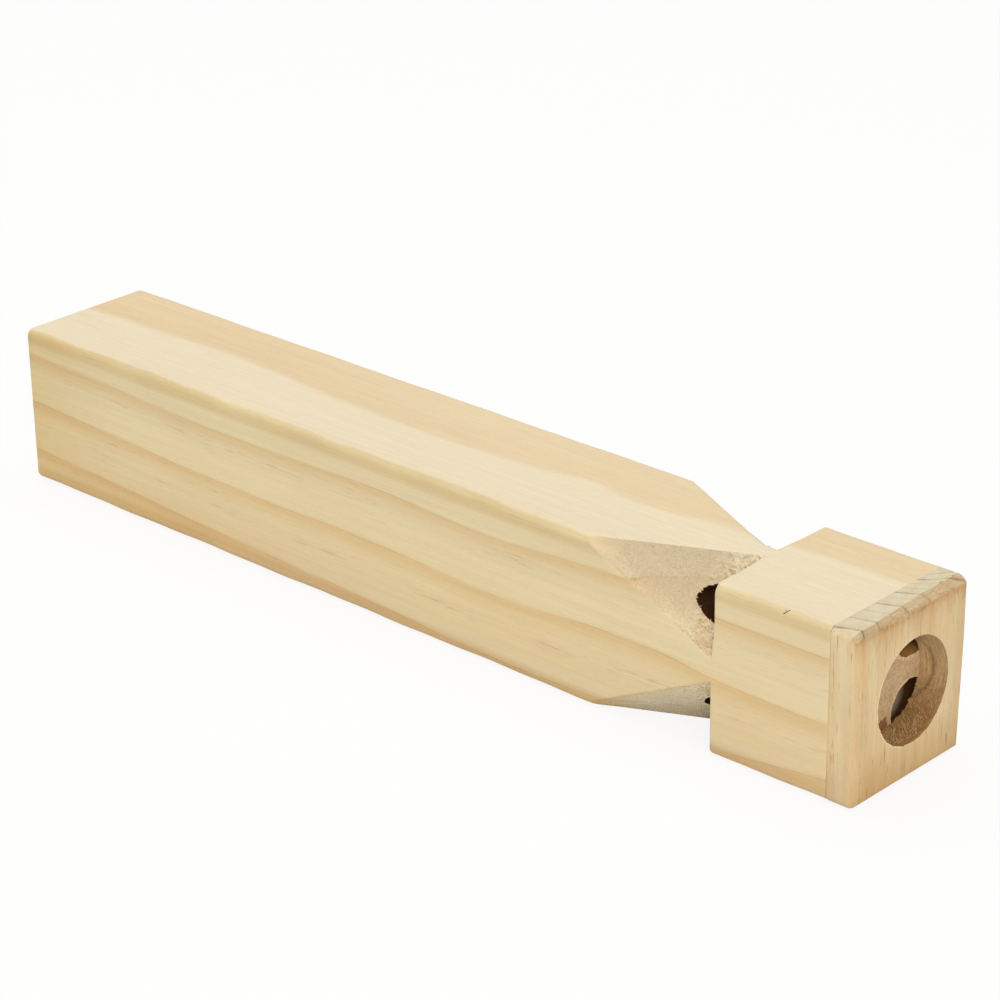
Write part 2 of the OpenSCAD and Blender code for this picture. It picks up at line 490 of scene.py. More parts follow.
def sloping_cut(inner, outer, steps, size, seed):
    """The sawn plane of a notch: ruled from the window's lip to the notch's outline, then roughened along
    its own normal by fine saw fuzz, shallow waves and torn lumps close to the square cut."""
    grid = ruled(inner, outer, steps)
    side = np.abs(np.linspace(-1, 1, grid.shape[1]))[None]
    edge = np.clip(np.minimum(steps, 1 - steps) * 14, 0, 1)[:, None] * np.clip((1 - side) * 14, 0, 1)
    fuzz = grain_noise(grid, (0.8, 0.4, 0.4), seed)
    waves = grain_noise(grid, (5.0, 1.6, 1.6), seed + 20)
    near_cut = np.clip((grid[..., 0] - WINDOW_X + 6) / 5, 0, 1)
    lumps = np.clip(grain_noise(grid, (0.9, 0.5, 0.5), seed + 40), -0.6, 0.6)
    rough = 0.04 * fuzz + 0.05 * waves + near_cut * (0.08 * fuzz + 0.3 * np.minimum(lumps, 0.1))
    return grid + (rough * edge)[..., None] * unit(slope_normal(size))


def lean_cut(grid, lean):
    """Moves points near the square cut along the bar: by the full lean at the corner, by nothing towards
    the middles of the faces, and fading out either side."""
    inward = np.clip((np.minimum(grid[..., 1], grid[..., 2]) - 1.5) / 6, 0, 1)
    close = np.clip(1 - np.abs(grid[..., 0] - WINDOW_X) / LEAN_REACH, 0, 1)
    return grid + (lean * inward * close)[..., None] * np.array([1, 0, 0])


def faces_to_window(size, corner, seed):
    """Top and side face of one quarter, from the round about the tail to the square cut, and the last row
    before the notch cuts them."""
    long_x = np.linspace(TAIL_X + size["tail_round"], size["notch_start"], LONG_ROWS)[1:]
    notch_x = np.linspace(size["notch_start"], WINDOW_X, NOTCH_ROWS + 1)[1:]
    x = np.concatenate([TAIL_X + size["tail_round"] * (1 - np.cos(TAIL_TURN)), long_x, notch_x])
    inset = np.zeros_like(x)
    inset[:len(TAIL_TURN)] = size["tail_round"] * (1 - np.sin(TAIL_TURN))
    radius = edge_radius(x, size, seed) - inset
    diagonal = ROOT2 * slope_depth(x, size, corner)
    start = np.argmax(diagonal < HALF_W + HALF_H - (2 - ROOT2) * radius - 2 * inset) - 1
    diagonal[:start + 1] = 2 * (HALF_W + HALF_H)
    top = along(x, half_face(HALF_W - inset, HALF_H - inset, radius, diagonal), False)
    side = along(x, half_face(HALF_H - inset, HALF_W - inset, radius, diagonal), True)
    return top, side, start


def block_faces(size, seed):
    """Top and side face of one quarter of the mouth block, from the square cut to the groove at the seam."""
    block_l = SEAM_X - WINDOW_X
    rows = np.linspace(0.9, block_l - 0.9, BLOCK_ROWS)
    x = WINDOW_X + np.concatenate([[0, 0.3], rows, [block_l - 0.25, block_l]])
    radius = edge_radius(x, size, seed)
    shrink = np.zeros_like(x)
    shrink[-1] = SEAM_GROOVE
    cut_sum = ROOT2 * size["slope_p"]
    top = along(x, block_face(HALF_W, HALF_H, radius, cut_sum - HALF_H, shrink), False)
    side = along(x, block_face(HALF_H, HALF_W, radius, cut_sum - HALF_W, shrink), True)
    return top, side


def corner_patches(size, corner, seed):
    """All patches of one quarter of the bar, between the middles of two faces, as (x, across, up) grids."""
    top, side, start = faces_to_window(size, corner, seed)
    rim = np.concatenate([top[0], side[0, -2::-1]])
    tail = ruled(np.broadcast_to(np.array([TAIL_X, 0, 0]), rim.shape), rim, TAIL_RINGS)

    # The slope, from the torn lip out to the edges that the notch leaves on the faces
    outline = np.concatenate([top[:start - 1:-1, -1], side[start + 1:, -1]])
    lip = np.linspace(-1, 1, len(outline)) * size["lip_angle"]
    lip_x = lip_place(lip, size, corner)
    out = lip_teeth(len(lip), size, corner.lip_cover, corner.teeth)
    droop = -0.6 * size["slope_k"] / ROOT2
    ragged = pipe_points(lip_x, lip, size) + out[:, None] * np.array([1, droop, droop])
    slope = sloping_cut(ragged, outline, SLOPE_STEPS, size, 100 * seed + 1)

    # The mouth block, and its square face round the pipe
    block_top, block_side = block_faces(size, seed)
    tip = len(FLAT) - 1
    shoulder = np.concatenate([block_top[0, tip:], block_side[0, -2:tip - 1:-1]])
    mouth_angle = np.linspace(-1, 1, len(shoulder)) * size["lip_angle"]
    square_cut = ruled(pipe_points(WINDOW_X, mouth_angle, size), shoulder, SLOPE_STEPS)

    # The half of the pipe's wall that the notch interrupts
    pipe_end = WINDOW_X - size["pipe_length"] / 2 ** (corner.semitones / OCTAVE_SEMITONES)
    outer_wall = pipe_points(lip_x + (pipe_end - lip_x) * PIPE_DEPTHS[:, None], lip[None], size)
    outer_wall[0] = ragged
    mouth_x = WINDOW_X + (SEAM_X - WINDOW_X) * MOUTH_DEPTHS
    mouth_wall = pipe_points(mouth_x[:, None], mouth_angle[None], size)

    # The half that runs through, with its angles set by what each faces on the seam's inner outline
    down = block_side[-1, tip::-1]
    centre = np.array([SEAM_X, 0, 0])
    across = ruled(down[-1:], centre[None], MIDDLE_STEPS)[:, 0]
    upward = ruled(centre[None], block_top[-1, :1], MIDDLE_STEPS)[:, 0]
    inside = np.concatenate([down, across, upward, block_top[-1, 1:tip + 1]])
    pipe_centre = size["pipe_p"] / ROOT2
    seen = np.unwrap(np.arctan2(inside[:, 1] - inside[:, 2], inside[:, 1] + inside[:, 2] - 2 * pipe_centre))
    share = (seen - seen[0]) / (seen[-1] - seen[0])
    inner_angle = size["lip_angle"] + share * (2 * math.pi - 2 * size["lip_angle"])
    inner_x = np.concatenate([(WINDOW_X + (pipe_end - WINDOW_X) * PIPE_DEPTHS)[::-1], mouth_x[1:]])
    inner_wall = pipe_points(inner_x[:, None], inner_angle[None], size)

    # The bar's end, from the burr round the pipe to the groove
    seam_rim = np.concatenate([block_top[-1, tip:], block_side[-1, -2:tip - 1:-1], inside[1:]])
    rim_angle = np.concatenate([mouth_angle, inner_angle[1:]])
    pipe_rim = mouth_rim(rim_angle, size, corner.burr, 7 * seed + 90)
    mouth_wall[-1] = pipe_rim[:len(mouth_angle)]
    inner_wall[-1] = pipe_rim[len(mouth_angle) - 1:]
    seam = ruled(pipe_rim, seam_rim, SEAM_STEPS)

    # The drill point
    drill_tip = np.array([[pipe_end - size["drill_tip"], pipe_centre, pipe_centre]])
    outer_cone = ruled(outer_wall[-1], np.broadcast_to(drill_tip, outer_wall[-1].shape), CONE_STEPS)
    inner_cone = ruled(inner_wall[0], np.broadcast_to(drill_tip, inner_wall[0].shape), CONE_STEPS)
    return [
        (top, SANDED), (side, SANDED), (tail, SANDED), (block_top, SANDED), (block_side, SANDED),
        (slope, SAWN), (square_cut, SAWN),
        (seam, DRILLED), (outer_wall, DRILLED), (mouth_wall, DRILLED), (inner_wall, DRILLED),
        (outer_cone, DRILLED), (inner_cone, DRILLED),
    ]


def at_corner(grid, corner):
    """Points of one quadrant with the lean of the corner's square cut, mirrored into that corner about
    the axis."""
    mirror = np.array([1, corner.side, corner.height])
    return lean_cut(grid, corner.cut_lean) * mirror + np.array([0, 0, AXIS_Z])


def bar_patches():
    """The four quarters of the bar, each in its own corner."""
    size = bar_sizes()
    patches = []
    for seed, corner in enumerate(CORNERS.values()):
        for grid, slot in corner_patches(corner_sizes(size, corner), corner, seed):
            patches.append((at_corner(grid, corner), slot))
    return patches


def plate_half(half_u, half_v, radius):
    """Half of a quarter of the plate's outline as points and outward normals: a straight run out from the
    middle of a face, then half the arc of the corner."""
    flat = np.ones(len(PLATE_RUN))
    u = np.concatenate([(half_u - radius) * PLATE_RUN, half_u - radius + radius * np.sin(PLATE_ARC)])
    v = np.concatenate([half_v * flat, half_v - radius + radius * np.cos(PLATE_ARC)])
    lean = np.concatenate([0 * flat, PLATE_ARC])
    return np.stack([u, v], axis=-1), np.stack([np.sin(lean), np.cos(lean)], axis=-1)


def plate_outline(radius, sharp_radius):
    """The plate's rounded outline once round from the middle of the top, and the outward normal at each
    point. The far lower corner has a smaller radius."""
    points, normals = [], []
    for turn, corner_r in zip(((1, 1), (1, -1), (-1, -1), (-1, 1)), (radius, sharp_radius, radius, radius)):
        order = slice(None, None, turn[0] * turn[1])
        top_half = plate_half(HALF_W, HALF_H, corner_r)
        side_half = plate_half(HALF_H, HALF_W, corner_r)
        for joined, top, side in zip((points, normals), top_half, side_half):
            quarter = np.concatenate([top, side[-2::-1, ::-1]])
            joined.append(quarter[order][min(len(joined), 1):] * turn)
    return np.concatenate(points), np.concatenate(normals)


def inset_outline(outline, normal, radius, inset):
    """The outline moved inwards: along its normals by no more than the corner's radius, then held inside
    the inset rectangle, so that a corner that is sharper than the inset closes to a point."""
    step = np.minimum(inset, radius)[..., None]
    limit = np.array([HALF_W, HALF_H]) - inset[..., None]
    return np.clip(outline - normal * step, -limit, limit)


def plate_outside(plate):
    """Outside of the plate, as rows round its outline from the seam to the front face.

    The front edge is a quarter circle in section, but along the top a flatter, scuffed bevel, narrow on
    the near side and wide on the far side. The far lower corner is sharper, and the far side leans in
    towards the bottom.
    """
    front_round, sharp_round = plate.front_round / MM, plate.sharp_round / MM
    edge_round = settings()[0].edge_round / MM
    outline, normal = plate_outline(edge_round, sharp_round)
    upward = np.clip(normal[:, 1], 0, 1)
    widening = np.clip((outline[:, 0] + 12) / 16, 0, 1)
    bevel = front_round * (1 + upward * (0.92 * widening - 0.65))[None]
    flatness = (1 + 0.75 * upward)[None]
    x = np.concatenate([
        SEAM_X + (MOUTH_X - bevel - SEAM_X) * PLATE_SHARES,
        MOUTH_X - bevel * (1 - np.sin(PLATE_TURN) ** flatness)])
    turned = len(PLATE_SHARES)
    inset = np.zeros_like(x)
    inset[0] = SEAM_GROOVE
    inset[turned:] = front_round * (1 + 0.2 * upward) * (1 - np.abs(np.cos(PLATE_TURN)) ** flatness)
    scuffed = np.zeros_like(x)
    scuffed[turned:] = 0.05 * np.sin(2 * PLATE_TURN) * upward
    place = np.stack(np.broadcast_arrays(x, outline[None, :, 0], outline[None, :, 1]), axis=-1)
    inset = inset + scuffed * (0.5 + grain_noise(place, (0.9, 0.7, 0.7), 53))
    corner_r = np.where((outline[:, 0] > 0) & (outline[:, 1] < 0), sharp_round, edge_round)
    moved = inset_outline(outline, normal, corner_r, inset)
    down = np.clip((4 - moved[..., 1]) / (4 + HALF_H), 0, 1)
    lean = plate.side_lean / MM * down * np.clip(moved[..., 0] / HALF_W, 0, 1) ** 2
    return np.stack([x, moved[..., 0] - lean, AXIS_Z + moved[..., 1]], axis=-1)


def hole_radius(depth, plate):
    """Radius of the blow hole's wall at a depth: it closes in by the taper, faster towards the back."""
    return HOLE_R - plate.hole_taper / MM * (depth / PLATE_T) ** 1.3


def hole_wall(angle, plate):
    """Wall of the blow hole, as rows round it from the front to the back.

    Its front rim is eased and chipped, the wall is torn where the drill crosses end grain, at its top and
    bottom, and fibres stand in from its back rim. Chips and fibres are smaller on the upper half.
    """
    depth = HOLE_DEPTHS
    eased = 0.13 * np.clip(1 - depth / 0.34, 0, 1) ** 2
    place = np.stack(np.broadcast_arrays(
        depth[:, None], HOLE_R * np.cos(angle)[None], HOLE_R * np.sin(angle)[None]), axis=-1)
    end_grain = 0.25 + 0.75 * np.sin(angle)[None] ** 2
    settled = np.clip(depth / 0.5, 0, 1)[:, None]
    torn = plate.hole_tear / MM * end_grain * settled * (
        0.8 * grain_noise(place, (1.3, 0.55, 0.55), 61) + 0.5 * grain_noise(place, (0.4, 0.3, 0.3), 67))
    ragged = np.clip(grain_noise(place[-1:], (1.0, 0.5, 0.5), 71), 0, 1) * 0.75 + 0.05
    back = np.clip((depth - (PLATE_T - 0.45)) / 0.45, 0, 1)[:, None]
    lower = np.clip(0.45 - np.sin(angle)[None], 0.15, 1)
    chipped = 0.22 * np.clip(grain_noise(place[:1], (1.0, 0.5, 0.5), 83), 0, 1) * lower
    chipped = chipped * np.clip(1 - depth / 0.6, 0, 1)[:, None]
    wall_r = (hole_radius(depth, plate) + eased)[:, None] + torn + chipped - ragged * back * lower
    return np.stack(np.broadcast_arrays(
        MOUTH_X - depth[:, None],
        HOLE_Y + wall_r * np.cos(angle),
        HOLE_Z + wall_r * np.sin(angle)), axis=-1)


def plate_patches():
    """The end plate as one profile carried round the outline: out over the back face, along the outside
    and round the front edge, in over the front face and back through the hole."""
    plate = settings()[1]
    outside = plate_outside(plate)
    rim = outside[-1]
    wall = hole_wall(np.arctan2(rim[:, 2] - HOLE_Z, rim[:, 1] - HOLE_Y), plate)
    front = ruled(rim, wall[0], np.linspace(0, 1, 26))
    back_face = ruled(wall[-1], outside[0], np.linspace(0, 1, 7))
    return [
        (outside, PLATE_OUTSIDE), (front, PLATE_OUTSIDE), (wall, PLATE_WALL), (back_face, PLATE_OUTSIDE)]


def unit(vectors):
    """Vectors scaled to length one."""
    return vectors / np.linalg.norm(vectors, axis=-1, keepdims=True)


# Share of a strand's length, and of its thickness, at each of its rings; the first and last close its ends
STRAND_STEPS = np.array([0, 0, 0.35, 0.7, 1.0, 1.0])[None, :, None, None]
STRAND_WIDTHS = np.array([0, 1, 0.8, 0.5, 0.12, 0])[None, :, None, None]
STRAND_TURN = np.linspace(0, 2 * math.pi, 4)[None, None, :, None]
STRAND_BEND = 0.6


def strand_patches(root, heading, lift, lengths, thickness):
    """Many tapered three-sided strands as one stack of arrays: a strand's centre line runs from its root
    along its heading and bends towards its lift with the square of the distance, while its thickness
    falls to about a tenth."""
    across = unit(np.cross(heading, lift))
    over = np.cross(heading, across)
    centre = root[:, None, None] + lengths[:, None, None, None] * (
        heading[:, None, None] * STRAND_STEPS + lift[:, None, None] * STRAND_BEND * STRAND_STEPS ** 2)
    ring = across[:, None, None] * np.cos(STRAND_TURN) + over[:, None, None] * np.sin(STRAND_TURN)
    return centre + ring * STRAND_WIDTHS * thickness[:, None, None, None]


def in_box(strands, margin):
    """The strands whose points all lie inside the solids' box, with a margin."""
    low, high = (np.array(corner) / MM for corner in SOLID_BOX)
    held = (strands > low + margin) & (strands < high - margin)
    return strands[held.all(axis=(1, 2, 3))]


LIP_STRANDS = 16
NOTCH_SEED = 40


def notch_strands(size, corner, seed):
    """Strands torn up along one notch: most lie on the slope close to the square cut and the window, and
    a few stand out over the window from its lip."""
    dice = np.random.default_rng(NOTCH_SEED + seed)
    count = corner.strands
    x = WINDOW_X - 0.15 - 6 * dice.random(count) ** 1.7
    p = slope_depth(x, size, corner)
    hole_q = np.sqrt(np.clip(size["pipe_r"] ** 2 - (p - size["pipe_p"]) ** 2, 0, None)) + 0.15
    outer_q = np.minimum(p, ROOT2 * HALF_W - p) - 0.7
    q = hole_q + (outer_q - hole_q) * dice.random(count) ** 0.8
    q = q * np.where(dice.random(count) < 0.5, -1, 1)
    lip = size["lip_angle"] * dice.uniform(-0.9, 0.9, LIP_STRANDS)
    lip_p = size["pipe_p"] + size["pipe_r"] * np.cos(lip)
    x = np.concatenate([x, lip_place(lip, size, corner) - 0.2])
    p = np.concatenate([p, lip_p]) - 0.04
    q = np.concatenate([q, size["pipe_r"] * np.sin(lip)])
    root = np.stack([x, (p + q) / ROOT2, (p - q) / ROOT2], axis=-1)
    total = len(root)
    either_way = np.where(dice.random(total) < 0.7, -1, 1)
    heading = np.stack([
        np.where(np.arange(total) < count, either_way, 1),
        0.6 * dice.normal(size=total),
        0.6 * dice.normal(size=total)], axis=-1)
    lift = slope_normal(size) + 0.3 * dice.normal(size=(total, 3))
    lengths = dice.uniform(0.35, 1.0, total)
    thickness = dice.uniform(0.04, 0.13, total)
    strands = strand_patches(root, unit(heading), unit(lift), lengths, thickness)
    return in_box(at_corner(strands, corner), STRAND_MARGIN)


HOLE_STRANDS = 520
HOLE_SEED = 77


def hole_strands():
    """Fuzz on the lower wall of the blow hole: strands of the plate's upright grain, torn loose at one
    end and leaning off the wall."""
    plate = settings()[1]
    dice = np.random.default_rng(HOLE_SEED)
    many = (HOLE_STRANDS, 3)
    angle = math.radians(-75) + math.radians(38) * dice.normal(size=HOLE_STRANDS)
    outward = np.stack([np.zeros(HOLE_STRANDS), np.cos(angle), np.sin(angle)], axis=-1)
    depth = dice.uniform(0.6, PLATE_T - 0.8, HOLE_STRANDS)
    root = np.array([MOUTH_X, HOLE_Y, HOLE_Z]) - depth[:, None] * np.array([1, 0, 0])
    root = root + outward * (hole_radius(depth, plate) + 0.02)[:, None]
    heading = np.array([0, 0, 1]) + np.array([0.9, 0.7, 0.4]) * dice.normal(size=many)
    heading = heading - outward * dice.uniform(-0.2, 0.25, (HOLE_STRANDS, 1))
    lift = -outward + 0.6 * dice.normal(size=many)
    lengths = dice.uniform(0.3, 1.0, HOLE_STRANDS)
    thickness = dice.uniform(0.02, 0.06, HOLE_STRANDS)
    return in_box(strand_patches(root, unit(heading), unit(lift), lengths, thickness), STRAND_MARGIN)


# A small dark nick on the near top edge of the mouth block: its place along the bar in millimetres, and
# the root, heading, length and thickness of its slivers, as (along the bar, up round the edge)
NICK_X = 86.2
NICK_ROOTS = np.array([[-0.45, -0.5], [0.0, 0.0], [-0.05, -0.05]])
NICK_HEADINGS = np.array([[0.67, 0.74], [0.62, 0.78], [-0.85, 0.5]])
NICK_LENGTHS = np.array([0.75, 0.6, 0.6])
NICK_THICKNESS = np.array([0.1, 0.09, 0.07])


def edge_nick(size):
    """A y-shaped nick in the middle of the near top edge's round: three slivers half sunk in it."""
    seed = list(CORNERS).index("near_top")
    round_r = edge_radius(NICK_X, corner_sizes(size, CORNERS["near_top"]), seed) * (1 - 1 / ROOT2)
    middle = np.array([NICK_X, round_r - HALF_W, TOP_Z - round_r])
    plane = np.array([[1, 0, 0], [0, 1 / ROOT2, 1 / ROOT2]])
    outward = np.array([[0, -1 / ROOT2, 1 / ROOT2]] * len(NICK_ROOTS))
    strands = strand_patches(
        middle + NICK_ROOTS @ plane, unit(NICK_HEADINGS @ plane), outward * 0.05,
        NICK_LENGTHS, NICK_THICKNESS)
    return in_box(strands, 0)


class Value:
    """What a node gives, with arithmetic that adds Math nodes to the same tree."""

    def __init__(self, nodes, socket):
        self.nodes = nodes
        self.socket = socket

    def __add__(self, other):
        return self.nodes.math("ADD", self, other)

    def __sub__(self, other):
        return self.nodes.math("SUBTRACT", self, other)

    def __rsub__(self, other):
        return self.nodes.math("SUBTRACT", other, self)

    def __mul__(self, other):
        return self.nodes.math("MULTIPLY", self, other)

    def __truediv__(self, other):
        return self.nodes.math("DIVIDE", self, other)

    def __abs__(self):
        return self.nodes.math("ABSOLUTE", self)


class Nodes:
    """Short calls for the nodes of one emptied tree."""

    def __init__(self, tree):
        self.tree = tree
        tree.nodes.clear()

    def add(self, kind, *values, **options):
        """A new node with its options set and values fed to its first sockets."""
        node = self.tree.nodes.new(kind)
        for name, option in options.items():
            setattr(node, name, option)
        for socket, value in zip(node.inputs, values):
            self.feed(socket, value)
        return node

    def feed(self, socket, value):
        """Links a value to a socket, or sets the socket to a number, vector or colour."""
        if isinstance(value, Value):
            self.tree.links.new(value.socket, socket)
        elif isinstance(value, tuple) and socket.type == "RGBA":
            socket.default_value = (*value, 1.0)
        else:
            socket.default_value = value

    def give(self, node, name=0):
        """One of a node's outputs, by its name or number."""
        return Value(self, node.outputs[name])

    def math(self, operation, *values):
        """A Math node's result."""
        return self.give(self.add("ShaderNodeMath", *values, operation=operation))

    def span(self, value, low, high, to_low=0.0, to_high=1.0):
        """Value taken from low..high to to_low..to_high, held at the ends."""
        return self.give(self.add("ShaderNodeMapRange", value, low, high, to_low, to_high, clamp=True))

    def mix(self, amount, first, second, blend="MIX"):
        """Two colours blended; the colour sockets of a Mix node come after those for numbers and vectors."""
        node = self.add("ShaderNodeMix", amount, data_type="RGBA", blend_type=blend)
        self.feed(node.inputs[6], first)
        self.feed(node.inputs[7], second)
        return self.give(node, 2)

    def seen_rays(self):
        """1 for camera, glossy and transmitted rays, which see the background, and 0 for all others."""
        path = self.add("ShaderNodeLightPath")
        camera, glossy, through = (
            self.give(path, name) for name in ("Is Camera Ray", "Is Glossy Ray", "Is Transmission Ray"))
        return self.math("MAXIMUM", self.math("MAXIMUM", camera, glossy), through)

    def blend_out(self, output, amount, first, second):
        """Two shader nodes blended into the tree's output."""
        blend = self.add("ShaderNodeMixShader", amount, self.give(first), self.give(second))
        self.add(output, self.give(blend))


class Finish(Nodes):
    """One procedural material, with short calls for what wood needs. Positions are in millimetres."""

    def __init__(self, name, roughness, specular):
        self.material = bpy.data.materials.new(name)
        self.material.use_nodes = True
        super().__init__(self.material.node_tree)
        self.shader = self.add("ShaderNodeBsdfPrincipled")
        self.shader.inputs["Roughness"].default_value = roughness
        self.shader.inputs["Specular IOR Level"].default_value = specular
        self.add("ShaderNodeOutputMaterial", self.give(self.shader))
        place = self.give(self.add("ShaderNodeTexCoord"), "Object")
        self.place = self.scaled(place, 1 / MM)
        self.x, self.y, self.z = self.split(self.place)

    def split(self, vector):
        """The three parts of a vector."""
        node = self.add("ShaderNodeSeparateXYZ", vector)
        return [self.give(node, index) for index in range(3)]

    def scaled(self, vector, factor):
        """A vector or colour times a number."""
        node = self.add("ShaderNodeVectorMath", vector, operation="SCALE")
        self.feed(node.inputs["Scale"], factor)
        return self.give(node)

    def distance(self, first, second):
        """The root of the sum of two squares."""
        return self.math("SQRT", first * first + second * second)

    def centred(self, value, width):
        """A value from 0 to 1 spread over a width about zero."""
        return self.math("MULTIPLY_ADD", value, width, -width / 2)

    def noise(self, sizes, detail=2.0, rough=0.5, place=None):
        """Noise from 0 to 1 whose features have the given sizes in millimetres along X, Y and Z."""
        stretched = self.add("ShaderNodeVectorMath", place or self.place, sizes, operation="DIVIDE")
        node = self.add("ShaderNodeTexNoise", self.give(stretched))
        for name, value in (("Scale", 1.0), ("Detail", detail), ("Roughness", rough)):
            node.inputs[name].default_value = value
        return self.give(node, "Fac")

    def ramp(self, value, stops):
        """Colours at places from 0 to 1, blended in between."""
        node = self.add("ShaderNodeValToRGB", value)
        elements = node.color_ramp.elements
        while len(elements) < len(stops):
            elements.new(0.5)
        for element, (position, colour) in zip(elements, stops):
            element.position = position
            element.color = (*colour, 1.0)
        return self.give(node)

    def levels(self, value, stops):
        """Numbers at places from 0 to 1, blended in between."""
        return self.ramp(value, [(position, (level,) * 3) for position, level in stops])

    def curve(self, value, points, reach):
        """A smooth curve through (place from 0 to 1, height from -reach to reach)."""
        node = self.add("ShaderNodeFloatCurve")
        self.feed(node.inputs["Value"], value)
        line = node.mapping.curves[0]
        while len(line.points) < len(points):
            line.points.new(0.5, 0.5)
        for point, (position, height) in zip(line.points, points):
            point.location = (position, 0.5 + 0.5 * height / reach)
        node.mapping.update()
        return self.centred(self.give(node), 2 * reach)

    def tinted(self, amount, colour, tone):
        """Colour blended by an amount towards itself times a tone."""
        return self.mix(amount, colour, self.mix(1.0, colour, tone, "MULTIPLY"))

    def shade(self, colour, value, low, high):
        """Colour multiplied by a number that goes from low to high as value goes from 0.25 to 0.75."""
        return self.scaled(colour, self.span(value, 0.25, 0.75, low, high))

    def mottle(self, colour, sizes, low, high, detail=2.0, rough=0.5):
        """Colour shaded from low to high by noise of the given sizes."""
        return self.shade(colour, self.noise(sizes, detail, rough), low, high)

    def finish(self, colour, height=None, distance=0.0, strength=1.0):
        """The material with its colour, and with a bump from a height if there is one."""
        self.feed(self.shader.inputs["Base Color"], colour)
        if height is not None:
            bump = self.add("ShaderNodeBump")
            for name, value in (("Height", height), ("Distance", distance * MM), ("Strength", strength)):
                self.feed(bump.inputs[name], value)
            self.feed(self.shader.inputs["Normal"], self.give(bump))
        return self.material


# The bar's growth rings: the pith in the end view, the first boundary and the spacing, in millimetres
PITH_Y = 20.4
PITH_Z = -46.8
FIRST_RING = 80.5
RING_SPACING = 9.3
INNER_SPACING = 9.4
# How far the rings wander outwards on the near side and on the top: share of the length, millimetres
NEAR_WANDER = (
    (0.0, 0.9), (0.15, 0.1), (0.225, -0.3), (0.3, -0.45), (0.375, -0.3), (0.45, -0.1), (0.5, -0.2),
    (0.55, -0.6), (0.6, -0.8), (0.65, -0.55), (0.7, 0.1), (0.75, 0.6), (0.8, 0.7), (0.84, 0.2),
    (0.89, -0.1), (1.0, 0.4))
TOP_WANDER = (
    (0.0, 0.06), (0.1, -0.13), (0.25, -0.22), (0.31, 0.12), (0.4, 0.36), (0.5, 0.38), (0.55, 0.24),
    (0.625, -0.18), (0.655, -0.43), (0.685, -0.18), (0.725, -0.1), (0.775, -0.5), (0.815, -0.66),
    (1.0, -0.9))
# What the innermost rings wander besides
INNER_WANDER = (
    (0.0, 0.28), (0.25, 0.24), (0.4, -0.3), (0.5, -0.73), (0.625, -0.6), (0.725, -1.1), (0.86, -0.4),
    (0.975, 1.4), (1.0, 1.5))
WANDER_REACH = 2.0
# Share of early wood across a ring, with soft boundaries on the sides and crisp ones on the top
SOFT_FADE = (
    (0.0, 0.5), (0.03, 0.08), (0.055, 0.0), (0.11, 0.19), (0.17, 0.4), (0.25, 0.62), (0.36, 0.84),
    (0.55, 1.0), (0.945, 1.0), (1.0, 0.5))
CRISP_FADE = (
    (0.0, 0.5), (0.015, 0.0), (0.07, 0.25), (0.14, 0.47), (0.21, 0.68), (0.3, 0.86), (0.48, 1.0),
    (0.975, 1.0), (1.0, 0.5))
# Tone of the wood from the pith's side of the section outwards
WARMTH = (
    (0.0, (0.95, 0.85, 0.70)), (0.17, (0.955, 0.86, 0.72)), (0.52, (1.01, 0.975, 0.905)),
    (0.74, (1.015, 0.983, 0.91)), (0.9, (1.0, 0.99, 0.965)), (1.0, (1.0, 1.0, 1.0)))
# How many resin dashes there are across a ring, and two rows of dashes as places in the first two rings
DASH_SHARE = ((0.0, 0.3), (0.12, 1.0), (0.5, 0.8), (0.62, 0.1))
DASH_ROWS = (
    (0.11, 0.0), (0.135, 1.0), (0.15, 1.0), (0.175, 0.0), (0.71, 0.0), (0.74, 1.0), (0.765, 1.0),
    (0.80, 0.0))

# Colours of marks in the bar's wood, and of painted light and shade on it
BOUNDARY_BROWN = (0.56, 0.35, 0.17)
RESIN_BROWN = (0.52, 0.32, 0.15)
ROW_BROWN = (0.60, 0.37, 0.17)
SAWN_LINE_BROWN = (0.58, 0.38, 0.21)
TORN_GOLD = (1.0, 0.89, 0.67)
SPECK_SHADE = (0.47, 0.32, 0.19)
TUFT_GAP_SHADE = (0.50, 0.33, 0.18)
RUBBED_TAN = (0.78, 0.56, 0.34)
UPPER_MOUTH_RED = (0.86, 0.45, 0.16)
UPPER_MOUTH_SHADE = (0.15, 0.065, 0.022)
LOWER_MOUTH_PAINTED_LIGHT = (1.0, 0.87, 0.66)
LOWER_MOUTH_PLATE_SHADOW = (0.15, 0.07, 0.03)
END_PINK = (0.66, 0.455, 0.275)
BURR_PALE = (0.92, 0.76, 0.54)
RED_MARK = (0.26, 0.11, 0.045)
# Tones that the bar's wood is multiplied by
DARK_EDGE_TONE = (0.90, 0.84, 0.73)
YELLOWED_EDGE = (0.98, 0.95, 0.885)
TAN_TAIL = (0.92, 0.87, 0.74)
PALE_LOW_EDGE = (1.01, 1.09, 1.30)
TOP_PAINTED_COOL_LIGHT = (0.976, 0.968, 1.0)
LOWER_SLOPE_PAINTED_LIGHT = (1.13, 1.31, 1.52)
SLOPE_START_TONE = (0.90, 0.845, 0.765)
# A reddish triangular mark on the bar's end by the near lower mouth: its far side and its top from the axis,
# in millimetres
RED_MARK_Y = 0.75
RED_MARK_TOP = -6.3


def blended(first, second, share):
    """A colour part of the way from the first to the second."""
    return tuple(a + (b - a) * share for a, b in zip(first, second))


